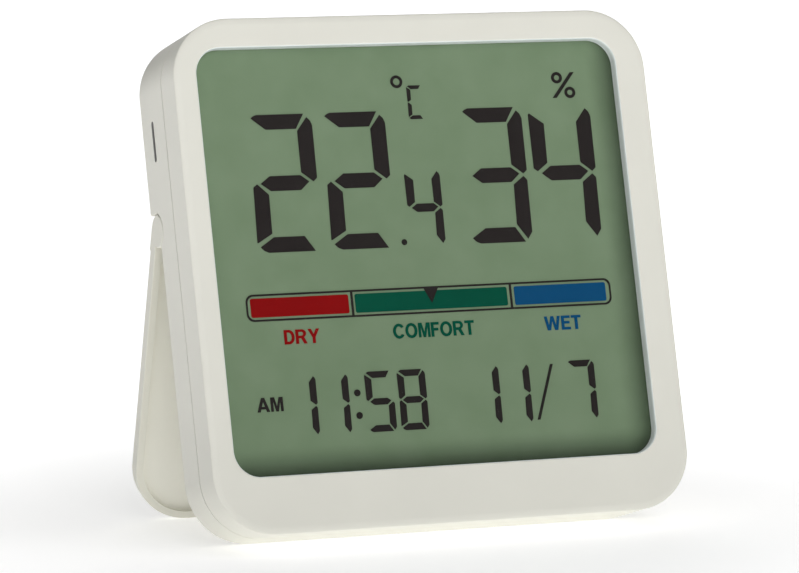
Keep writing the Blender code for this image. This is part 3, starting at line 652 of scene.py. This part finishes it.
def tongue(side):
    """A hooked tongue at the top of the case."""
    ends = (side * TONGUE_X - TONGUE_HALF, side * TONGUE_X + TONGUE_HALF)
    radii = (TONGUE_ROUND, TONGUE_ROUND)
    return [
        ("UNION", slab((*ends, low, high), radii, front, back, steps=3))
        for low, high, front, back in TONGUE_PARTS
    ]


def battery_bay():
    """The cell's round bay, with its throat, the seat of its cover and the bayonet's entry."""
    entry = slab(ENTRY_BOX, (ENTRY_ROUND, ENTRY_ROUND), *ENTRY_DEPTHS, steps=4)
    entry.transform(Matrix.Translation((COVER[0], 0, COVER[1])) @ Matrix.Rotation(ENTRY_TURN, 4, "Y"))
    return [
        ("UNION", turned(BAY_WALL, COVER)),
        ("DIFFERENCE", turned(CELL_BAY, COVER)),
        ("DIFFERENCE", turned(BAY_THROAT, COVER)),
        ("DIFFERENCE", turned(COVER_SEAT, COVER, COVER_STEPS)),
        ("DIFFERENCE", entry),
    ]


def within_case(x, z, inset):
    """Whether a point lies inside the case's rounded outline by more than the inset."""
    beyond = (max(abs(x) - (HALF_W - CORNER), 0), max(abs(z) - (HALF_H - CORNER), 0))
    return math.hypot(*beyond) < CORNER - inset


def in_painted_shade(centre, margin=0.1):
    """Whether a face belongs to the rear shell's inside or to the walls of its air slot, which get dark grey
    plastic as painted shade.
    """
    x, y, z = centre
    in_slot = x < 0 and abs(y - SLOT_Y) < SLOT_HALF + margin and abs(z - SLOT_Z) < SLOT_REACH + margin
    in_hollow = within_case(x, z, WALL - margin) and y < LOW_REAR - WALL - 2 * margin
    return within_case(x, z, margin) and (in_slot or in_hollow)


def rear_housing():
    """Rear shell: two blocks and the hinge's nose, hollowed, with its pillars, bay and holes."""
    thin, thick, nose = rear_blocks()
    tools = [("UNION", thick), ("UNION", nose), *rear_cuts()]
    for side in (-1, 1):
        tools += screw_pillar(side) + tongue(side)
    tools += battery_bay()
    tools += [("DIFFERENCE", turned(BUTTON_HOLE, middle(name), HOLE_STEPS)) for name in BUTTONS]
    housing = carve(thin, tools)
    # The inside and the air slot's walls get the dark grey plastic: painted shade.
    housing.normal_update()
    for face in housing.faces:
        face.material_index = int(in_painted_shade(face.calc_center_median()))
    piece("rear_housing", housing, CASE, "case", (WHITE, PAINTED_SHADE_INSIDE), ["rear_shell"])


# ---------------------------------------------------------------- stand, cover and buttons
STAND_LENGTH = 49.2
STAND_INNER = 0.25          # from the hinge's axis back to the face that meets the case
STAND_TOP = 2.9
STAND_ROUND, STAND_INNER_EDGE, STAND_OUTER_EDGE = 0.3, 0.15, 0.5
EAR_X, EAR_EDGE = 31.8, 0.12
EAR_NECK, NECK_ROUND, NECK_THIN = (-4.0, 0.0), 0.05, 0.02
EAR_HOLE = (EAR_X - 1, 36.3)
STAND_RIM = 1.2
TRAY_DEPTH, TRAY_TOP, TRAY_ROUND, TRAY_EDGE = 1.05, 5.4, 0.5, 0.45
TRAY_CUT = -1.0             # where the tray's cut begins, clear of the plate
PAINTED_LIGHT_DEPTHS = (STAND_INNER + 0.1, EAR_RADIUS - 0.6)     # between these the tray's faces get the lighter plastic as painted light

# The cover's and a button's outlines as (radius, depth) pairs.
COVER_PROFILE = (
    (10.4, 11.5), (10.4, 9.2), (11.4, 9.2), (11.4, 12.3), (13.0, 12.3), (13.0, 12.9), (12.93, 13.05),
    (12.75, 13.15), (12.5, 13.2),
)
LUG_REACH, LUG_HALF, LUG_ROUND, LUG_DEPTHS = (11.2, 12.4), 2, 0.1, (9.4, 10.4)
COIN_HALF, COIN_SLOT_HALF, COIN_ROUND = 7.0, 0.9, 0.85
COIN_DEPTHS, COIN_EDGE = (12.3, 14.0), 0.2
KEY_RADIUS, KEY_SHOULDER, KEY_ROUND = 2.6, 13.35, 0.35
KEY_STEM = (
    (1.2, 9.9), (1.2, 10.3), (3.4, 10.3), (3.4, 11.2), (KEY_RADIUS, 11.2), (KEY_RADIUS, KEY_SHOULDER),
)
KEY_BEND = (20, 40, 60, 75)
KEY_DOME = ((1.9, 13.74), (1.2, 13.78), (0.5, 13.8))


def stand_axes():
    """From the stand's millimetres to the frame: its tip and the case both meet the floor."""
    axis = Vector(JOINTS["stand_fold"]["pos_m"])
    reach = math.hypot(STAND_LENGTH, STAND_INNER)
    swing = math.acos(axis.z / MM / reach) - math.atan2(STAND_INNER, STAND_LENGTH)
    return Matrix.Translation(axis) @ Matrix.Rotation(swing, 4, "X") @ Matrix.Scale(MM, 4)


def stand_ear(side):
    """A round ear with its neck, and the hole for its hinge pin."""
    ends = sorted((side * EAR_X, side * HALF_W))
    hole = sorted(side * x for x in EAR_HOLE)
    radii = (NECK_ROUND, NECK_ROUND)
    neck = slab((*ends, *EAR_NECK), radii, STAND_INNER, EAR_RADIUS - NECK_THIN, steps=2)
    return [
        ("UNION", neck),
        ("UNION", rod_x(EAR_RADIUS, *ends, 0.0, 0.0, EAR_EDGE)),
        ("DIFFERENCE", rod_x(PIN_HOLE, *hole, 0.0, 0.0, steps=PIN_STEPS)),
    ]


def fold_out_stand():
    """The stand: a plate with two ears and a shallow tray on the side that meets the case."""
    outline = (-HALF_W, HALF_W, -STAND_LENGTH, -STAND_TOP)
    edges = (STAND_INNER_EDGE, STAND_OUTER_EDGE)
    plate = slab(outline, (STAND_ROUND, CORNER), STAND_INNER, EAR_RADIUS, *edges)
    tools = stand_ear(-1) + stand_ear(1)
    rim = HALF_W - STAND_RIM
    tray = (-rim, rim, STAND_RIM - STAND_LENGTH, -TRAY_TOP)
    radii = (TRAY_ROUND, CORNER - STAND_RIM)
    tools.append(("DIFFERENCE", slab(tray, radii, TRAY_CUT, STAND_INNER + TRAY_DEPTH, 0.0, TRAY_EDGE)))
    flap = carve(plate, tools)
    # The tray's floor and walls get the lighter plastic: painted light.
    left, right, low, high = shrunk(tray, -0.01)
    for face in flap.faces:
        x, y, z = face.calc_center_median()
        in_painted_light = left < x < right and low < z < high and PAINTED_LIGHT_DEPTHS[0] < y < PAINTED_LIGHT_DEPTHS[1]
        face.material_index = int(in_painted_light)
    looks = (STAND_WHITE, PAINTED_LIGHT_TRAY)
    piece("fold_out_stand", flap, stand_axes(), "stand", looks, ["stand"])


def battery_door():
    """Round cover with a coin slot and two bayonet lugs."""
    across, up = COVER
    tools = []
    for side in (-1, 1):
        ends = sorted(across + side * reach for reach in LUG_REACH)
        lug = slab((*ends, up - LUG_HALF, up + LUG_HALF), (LUG_ROUND, LUG_ROUND), *LUG_DEPTHS, steps=2)
        tools.append(("UNION", lug))
    coin = (across - COIN_HALF, across + COIN_HALF, up - COIN_SLOT_HALF, up + COIN_SLOT_HALF)
    radii = (COIN_ROUND, COIN_ROUND)
    tools.append(("DIFFERENCE", slab(coin, radii, *COIN_DEPTHS, COIN_EDGE, 0.0, steps=8)))
    door = carve(turned(COVER_PROFILE, COVER, COVER_STEPS), tools)
    piece("battery_door", door, CASE, "battery_cover", KEY_WHITE, ["battery_cover"])


def keys():
    """Three round buttons with softly domed tops."""
    angles = [math.radians(degrees) for degrees in KEY_BEND]
    shoulder = [
        (KEY_RADIUS - KEY_ROUND * (1 - math.cos(a)), KEY_SHOULDER + KEY_ROUND * math.sin(a))
        for a in angles
    ]
    profile = [*KEY_STEM, *shoulder, *KEY_DOME]
    for number, name in enumerate(BUTTONS, 1):
        key = turned(profile, middle(name), HOLE_STEPS)
        piece(f"key_{number}", key, CASE, name, KEY_WHITE, [name])


# ---------------------------------------------------------------- display artwork
INK_BACK = PANEL_FRONT - 0.02       # just clear of the panel
INK_FRONT = INK_BACK - 0.06
TOP_FRONT = INK_FRONT - 0.08        # of the pointer, which lies over the scale
ART_ORIGIN = (0.11, 0, -0.08)       # the artwork's middle in the case's axes

# A segment digit in a grid 11 wide and 21.6 high, as the outlines of its seven bars.
SEGMENTS = {
    "a": ((0.9, 21.1), (1.3, 21.4), (1.8, 21.6), (9.7, 21.6), (8.25, 19.25), (3.2, 19.25)),
    "b": ((10.15, 21.05), (10.7, 20.5), (11.0, 19.75), (10.95, 11.45), (10.3, 10.9), (8.4, 12.4),
          (8.4, 18.9)),
    "c": ((10.25, 10.5), (10.85, 9.85), (10.75, 1.55), (9.95, 0.45), (8.25, 2.85), (8.45, 9.2)),
    "d": ((0.45, 0.9), (2.8, 2.4), (7.9, 2.4), (9.5, 0.0), (1.8, 0.0), (1.05, 0.3)),
    "e": ((0.9, 10.75), (0.25, 10.25), (0.0, 1.6), (0.15, 1.55), (2.6, 2.95), (2.7, 9.05)),
    "f": ((0.35, 20.5), (0.15, 20.25), (0.2, 11.65), (0.85, 11.15), (2.65, 12.45), (2.75, 18.75)),
    "g": ((1.5, 10.8), (3.1, 11.95), (8.2, 11.95), (9.6, 10.9), (8.1, 9.6), (3.1, 9.6)),
}
LIT = {
    "1": "bc", "2": "abged", "3": "abgcd", "4": "fgbc", "5": "afgcd", "7": "abc", "8": "abcdefg",
    "C": "afed",
}


def digit(figure, left, low, scale):
    """The lit bars of one figure, with its grid's lower left corner at (left, low)."""
    solids = []
    for name in LIT[figure]:
        outline = [(left + x * scale, low + z * scale) for x, z in SEGMENTS[name]]
        solids.append(prism(outline, INK_FRONT, INK_BACK))
    return solids


def digits(places, low, scale):
    """The lit bars of several figures, from (figure, left edge) pairs."""
    return [solid for figure, left in places for solid in digit(figure, left, low, scale)]


def dot(x, z, radius):
    """A round dot of ink."""
    return turned([(radius, INK_FRONT), (radius, INK_BACK)], (x, z), SMALL_STEPS)


def ring(x, z, outer, inner, squeeze=1.0):
    """A ring of ink, made a little lower than wide by squeeze."""
    rims = [
        lambda y, radius=radius: circle(radius, y, (x, z), HOLE_STEPS, squeeze)
        for radius in (outer, inner)
    ]
    return ring_plate(*rims, INK_FRONT, INK_BACK)


def stroke(start, end, width):
    """A straight bar between two points, cut level at both ends."""
    half = width / 2
    outline = [
        (start[0] - half, start[1]), (start[0] + half, start[1]),
        (end[0] + half, end[1]), (end[0] - half, end[1]),
    ]
    return prism(outline, INK_FRONT, INK_BACK)


def bend(x, z, wide, tall, start, end, steps=16):
    """Points along part of an ellipse, between two angles in degrees."""
    angles = [math.radians(start + (end - start) * step / steps) for step in range(steps + 1)]
    return [(x + wide * math.cos(a), z + tall * math.sin(a)) for a in angles]


# Plain bold capitals, one unit high: each is its width and its outlines, an inner one being a hole.
STEM = 0.235
BAR = 0.185
HIGH = 1 - BAR
LETTERS = {
    "A": (0.98, [(0, 0), (0.37, 1), (0.61, 1), (0.98, 0), (0.735, 0), (0.665, 0.2), (0.315, 0.2),
                 (0.245, 0)],
          [(0.37, 0.375), (0.61, 0.375), (0.49, 0.72)]),
    "C": (0.93, bend(0.49, 0.5, 0.49, 0.52, 32, 328) + bend(0.49, 0.5, 0.255, 0.325, 322, 38)),
    "D": (0.83, [(0, 0), (0, 1)] + bend(0.38, 0.5, 0.45, 0.5, 90, -90),
          [(STEM, BAR), (STEM, HIGH)] + bend(0.36, 0.5, 0.235, 0.5 - BAR, 90, -90)),
    "E": (0.73, [(0, 0), (0, 1), (0.71, 1), (0.71, HIGH), (STEM, HIGH), (STEM, 0.61), (0.66, 0.61),
                 (0.66, 0.61 - BAR), (STEM, 0.61 - BAR), (STEM, BAR), (0.73, BAR), (0.73, 0)]),
    "F": (0.67, [(0, 0), (0, 1), (0.67, 1), (0.67, HIGH), (STEM, HIGH), (STEM, 0.6), (0.6, 0.6),
                 (0.6, 0.6 - BAR), (STEM, 0.6 - BAR), (STEM, 0)]),
    "M": (0.97, [(0, 0), (0, 1), (0.31, 1), (0.485, 0.36), (0.66, 1), (0.97, 1), (0.97, 0), (0.765, 0),
                 (0.765, 0.74), (0.585, 0), (0.385, 0), (0.205, 0.74), (0.205, 0)]),
    "O": (1.0, bend(0.5, 0.5, 0.5, 0.52, 0, 345, 23), bend(0.5, 0.5, 0.262, 0.325, 0, 345, 23)),
    "R": (0.9, [(0, 0), (0, 1)] + bend(0.5, 0.715, 0.34, 0.285, 90, -62)
          + [(0.9, 0), (0.64, 0), (0.42, 0.38), (STEM, 0.38), (STEM, 0)],
          [(STEM, 0.565), (STEM, 0.825)] + bend(0.47, 0.695, 0.14, 0.13, 90, -90)),
    "T": (0.78, [(0, 1), (0.78, 1), (0.78, HIGH), (0.51, HIGH), (0.51, 0), (0.27, 0), (0.27, HIGH),
                 (0, HIGH)]),
    "W": (1.28, [(0, 1), (0.235, 1), (0.36, 0.36), (0.525, 1), (0.755, 1), (0.92, 0.36), (1.045, 1),
                 (1.28, 1), (1.06, 0), (0.8, 0), (0.64, 0.66), (0.48, 0), (0.22, 0)]),
    "Y": (0.92, [(0, 1), (0.265, 1), (0.46, 0.64), (0.655, 1), (0.92, 1), (0.578, 0.41), (0.578, 0),
                 (0.342, 0), (0.342, 0.41)]),
}
LETTER_GAP = 0.08
LETTER_WELD = 0.0001


def letter_curve(words, box):
    """The outlines of plain capitals, set side by side and stretched to fill a box."""
    left, right, low, high = box
    whole = sum(LETTERS[letter][0] + LETTER_GAP for letter in words) - LETTER_GAP
    grow = (right - left) / whole
    curve = bpy.data.curves.new(words, "CURVE")
    curve.dimensions = "2D"
    curve.fill_mode = "BOTH"
    curve.extrude = 1.0
    start = left
    for letter in words:
        width, *outlines = LETTERS[letter]
        for outline in outlines:
            spline = curve.splines.new("POLY")
            spline.points.add(len(outline) - 1)
            for point, (x, z) in zip(spline.points, outline):
                point.co = (start + x * grow, low + z * (high - low), 0, 1)
            spline.use_cyclic_u = True
        start += (width + LETTER_GAP) * grow
    return curve


def lettering(words, box):
    """Plain capitals of ink that fill a box (left, right, low, high)."""
    item = bpy.data.objects.new(words, letter_curve(words, box))
    bpy.context.scene.collection.objects.link(item)
    graph = bpy.context.evaluated_depsgraph_get()
    mesh = bpy.data.meshes.new_from_object(item.evaluated_get(graph))
    bpy.data.objects.remove(item, do_unlink=True)
    bm = bmesh.new()
    bm.from_mesh(mesh)
    bmesh.ops.remove_doubles(bm, verts=bm.verts, dist=LETTER_WELD)
    for vertex in bm.verts:
        x, z, deep = vertex.co
        vertex.co = (x, INK_BACK if deep < 0 else INK_FRONT, z)
    bmesh.ops.recalc_face_normals(bm, faces=bm.faces)
    return bm


# Figures as (figure, left edge) pairs, with the height of their feet and the scale of their grid.
TEMPERATURE = ((("2", -28.44), ("2", -16.17)), 3.56, 1.0)
DECIMAL = ((("4", -2.97),), 3.66, 0.555)
HUMIDITY = ((("3", 7.21), ("4", 19.21)), 3.56, 1.0)
DEGREE = ((("C", -1.02),), 23.73, 0.249)
TIME = ((("1", -26.0), ("1", -20.66), ("5", -13.16), ("8", -7.7)), -25.11, 0.437)
DATE = ((("1", 4.76), ("1", 9.99), ("7", 21.25)), -25.11, 0.437)
# Dots and rings: across, up and radius, or outer and inner radius. Bars: two ends and a width.
DECIMAL_POINT = (-4.01, 4.31, 0.48)
COLON = ((-14.49, -18.88, 0.54), (-14.49, -22.4, 0.54))
DEGREE_RING = (-2.54, 29.76, 1.02, 0.56)
PERCENT_RINGS = ((25.06, 29.66, 0.95, 0.45, 0.97), (27.11, 27.23, 0.95, 0.45, 0.97))
PERCENT_BAR = ((24.36, 26.4), (27.81, 30.5), 0.72)
DATE_BAR = ((15.63, -24.71), (18.76, -16.03), 0.5)
MORNING_BOX = (-31.2, -26.88, -21.05, -18.83)

SCALE_BOX, SCALE_LINE, SCALE_CORNERS, SCALE_STEPS = (-31.36, 30.45, -7.06, -2.83), 0.3, (1.2, 1.0), 10
DIVIDERS, DIVIDER_WIDTH, DIVIDER_ROUND, DIVIDER_LAP = (-14.0, 12.9), 0.4, 0.03, 0.05
DIVIDER_DEPTHS = (INK_FRONT + 0.01, INK_BACK - 0.005)       # just inside the frame's own faces
BAND_HEIGHTS, BAND_ROUND = (-6.43, -3.47), 0.3
BANDS = (
    ("dry_band", -30.64, -14.38, RED),
    ("comfort_band", -13.31, 12.47, GREEN),
    ("wet_band", 13.7, 29.52, BLUE),
)
POINTER, POINTER_GAP = ((-1.76, -2.9), (0.9, -2.9), (-0.43, -5.42)), 0.02
SCALE_NAMES = (
    ("DRY", (-25.63, -19.74, -10.79, -8.55), RED),
    ("COMFORT", (-7.47, 6.27, -10.77, -8.47), GREEN),
    ("WET", (18.34, 24.67, -10.72, -8.48), BLUE),
)


def artwork(name, solids, look):
    """Put solids of ink on the display as one piece."""
    place = CASE @ Matrix.Translation(ART_ORIGIN)
    piece(name, merged(solids), place, "case", look)


def readings():
    """The temperature and the humidity with their units."""
    artwork("temperature_digits", digits(*TEMPERATURE), INK)
    artwork("decimal_digit", digits(*DECIMAL) + [dot(*DECIMAL_POINT)], INK)
    artwork("humidity_digits", digits(*HUMIDITY), INK)
    artwork("degree_unit", digits(*DEGREE) + [ring(*DEGREE_RING)], INK)
    artwork("percent_unit", [ring(*sizes) for sizes in PERCENT_RINGS] + [stroke(*PERCENT_BAR)], INK)


def clock_line():
    """The time and the date."""
    artwork("time_digits", digits(*TIME) + [dot(*sizes) for sizes in COLON], INK)
    artwork("date_digits", digits(*DATE) + [stroke(*DATE_BAR)], INK)
    artwork("morning_mark", [lettering("AM", MORNING_BOX)], INK)


def scale_frame():
    """The thin rounded frame round the three bands, and its two dividers."""
    inner = shrunk(SCALE_BOX, SCALE_LINE)
    rims = [
        lambda y, box=box, corner=corner: corner_box(box, (corner, corner), y, SCALE_STEPS)
        for box, corner in zip((SCALE_BOX, inner), SCALE_CORNERS)
    ]
    radii = (DIVIDER_ROUND, DIVIDER_ROUND)
    heights = (inner[2] - DIVIDER_LAP, inner[3] + DIVIDER_LAP)
    dividers = [
        slab((left, left + DIVIDER_WIDTH, *heights), radii, *DIVIDER_DEPTHS, steps=1)
        for left in DIVIDERS
    ]
    return [ring_plate(*rims, INK_FRONT, INK_BACK), *dividers]


def comfort_scale():
    """The framed scale with its pointer, and the names of its bands below it."""
    artwork("scale_frame", scale_frame(), INK)
    for name, left, right, look in BANDS:
        box = (left, right, *BAND_HEIGHTS)
        artwork(name, [slab(box, (BAND_ROUND, BAND_ROUND), INK_FRONT, INK_BACK, steps=6)], look)
    artwork("scale_pointer", [prism(POINTER, TOP_FRONT, INK_FRONT - POINTER_GAP)], INK)
    for words, box, look in SCALE_NAMES:
        artwork(f"{words.lower()}_label", [lettering(words, box)], look)


# ---------------------------------------------------------------- studio, in metres from here on
CAMERA_YAW = math.radians(22.893)
CAMERA_PITCH = math.radians(6.428)
CAMERA_DISTANCE = 0.734562
CAMERA_RIGHT, CAMERA_UP = 0.005485, 0.003209    # how far the middle of the face is off the view's middle
CAMERA_LENS = 212.77                            # millimetres
CAMERA_REACH = 50.0


def camera():
    """A long lens to the left of the face and a little above the table."""
    level = math.cos(CAMERA_PITCH)
    right = Vector((math.cos(CAMERA_YAW), -math.sin(CAMERA_YAW), 0))
    ahead = Vector((math.sin(CAMERA_YAW) * level, math.cos(CAMERA_YAW) * level, -math.sin(CAMERA_PITCH)))
    up = right.cross(ahead)
    data = bpy.data.cameras.new("camera")
    data.lens = CAMERA_LENS
    data.clip_end = CAMERA_REACH
    item = bpy.data.objects.new("camera", data)
    place = CASE.translation - ahead * CAMERA_DISTANCE - right * CAMERA_RIGHT - up * CAMERA_UP
    turn = Matrix((right, up, -ahead)).transposed().to_4x4()
    item.matrix_world = Matrix.Translation(place) @ turn
    bpy.context.scene.collection.objects.link(item)
    bpy.context.scene.camera = item


LIGHT_AIM = Vector((0, 0, 0.04))


def soft_box(name, azimuth, elevation, distance, size, power):
    """A square area light aimed at the station: azimuth 0 is in front of it and negative to the left."""
    a, e = math.radians(azimuth), math.radians(elevation)
    away = Vector((math.sin(a) * math.cos(e), -math.cos(a) * math.cos(e), math.sin(e)))
    light = bpy.data.lights.new(name, "AREA")
    light.size = size
    light.energy = power
    item = bpy.data.objects.new(name, light)
    turn = (-away).to_track_quat("-Z", "Y").to_matrix().to_4x4()
    item.matrix_world = Matrix.Translation(LIGHT_AIM + distance * away) @ turn
    bpy.context.scene.collection.objects.link(item)


FLOOR_REACH = 4.4               # from the station to the backdrop
RISE_CURVE, RISE = 0.3, 0.48    # the curve that the floor rises in, and the backdrop's height
RISE_BEND = range(0, 91, 15)    # degrees along the curve
ROUND_BEND = range(0, 360, 5)   # degrees round the station


def floor_shape():
    """A round table that curves up into a low backdrop all round."""
    angles = [math.radians(a) for a in RISE_BEND]
    profile = [
        (FLOOR_REACH - RISE_CURVE * (1 - math.sin(t)), RISE_CURVE * (1 - math.cos(t))) for t in angles
    ]
    profile.append((FLOOR_REACH, RISE))
    around = [math.radians(a) for a in ROUND_BEND]
    bm = bmesh.new()
    rings = [[bm.verts.new((r * math.cos(t), r * math.sin(t), z)) for t in around] for r, z in profile]
    bm.faces.new(rings[0])
    for inner, outer in zip(rings, rings[1:]):
        for i in range(len(around)):
            bm.faces.new((inner[i - 1], outer[i - 1], outer[i], inner[i]))
    return bm


FLOOR_TONES = (0.86, 0.86, 0.86), (0.88, 0.88, 0.88)
FLOOR_DRIFT = 0.4               # over which its tone drifts
FLOOR_GLOW = (0.50, 0.97)       # close to the station, and further off
GLOW_REACH = (40, 170)          # millimetres from the station where the first ends and the second begins
BACKDROP_GLOW = 0.8             # the part of the glow that is left at the backdrop
BACKDROP_FADE = (2500, 4000)    # millimetres from the station where the glow falls to that
FLOOR_ROUGHNESS, FLOOR_GLOSS = 0.9, 0.1


def pale_floor():
    """A pale matt surface that glows, more so where it stands for the backdrop of the view."""
    made, tree, shader = new_material("pale_floor")
    place = add(tree, "ShaderNodeTexCoord").outputs["Object"]
    tone = spread(tree, noise(tree, FLOOR_DRIFT, 2.0, place), 0.0, 1.0)
    tree.links.new(blend_colours(tree, tone, *FLOOR_TONES), shader.inputs["Base Color"])
    away = add(tree, "ShaderNodeVectorMath", {0: place}, operation="LENGTH").outputs["Value"]
    glow = ramp(tree, away, *GLOW_REACH, *FLOOR_GLOW)
    fade = ramp(tree, away, *BACKDROP_FADE, 1.0, BACKDROP_GLOW)
    tree.links.new(product(tree, glow, fade), shader.inputs["Emission Strength"])
    shader.inputs["Roughness"].default_value = FLOOR_ROUGHNESS
    shader.inputs["Specular IOR Level"].default_value = FLOOR_GLOSS
    shader.inputs["Emission Color"].default_value = (1, 1, 1, 1)
    return made


def floor():
    """The table and its backdrop, which aren't part of the station."""
    item = scene_object("floor", floor_shape())
    item.data.materials.append(pale_floor())


# Each light's name, azimuth and elevation in degrees, distance, size, and power in watts.
LIGHTS = (
    ("key", -10, 22, 1.6, 0.7, 6.35),
    ("near_top", 28, 52, 0.5, 0.35, 0.32),
    ("top", 10, 80, 1.5, 1.2, 4.9),
    ("back_fill", 165, 30, 1.6, 1.0, 4.0),
)
SKY_COLOUR, SKY = (0.97, 0.98, 1.0, 1.0), 0.005


def studio():
    """The lights, a faint sky and plain colour handling."""
    world = bpy.data.worlds.new("studio")
    world.use_nodes = True
    sky = world.node_tree.nodes["Background"]
    sky.inputs["Color"].default_value = SKY_COLOUR
    sky.inputs["Strength"].default_value = SKY
    bpy.context.scene.world = world
    for light in LIGHTS:
        soft_box(*light)
    bpy.context.scene.view_settings.view_transform = "Standard"


# ---------------------------------------------------------------- assembly
dress_cad_nodes()
front_bezel()
clear_lens()
rear_housing()
fold_out_stand()
battery_door()
keys()
readings()
clock_line()
comfort_scale()
camera()
floor()
studio()
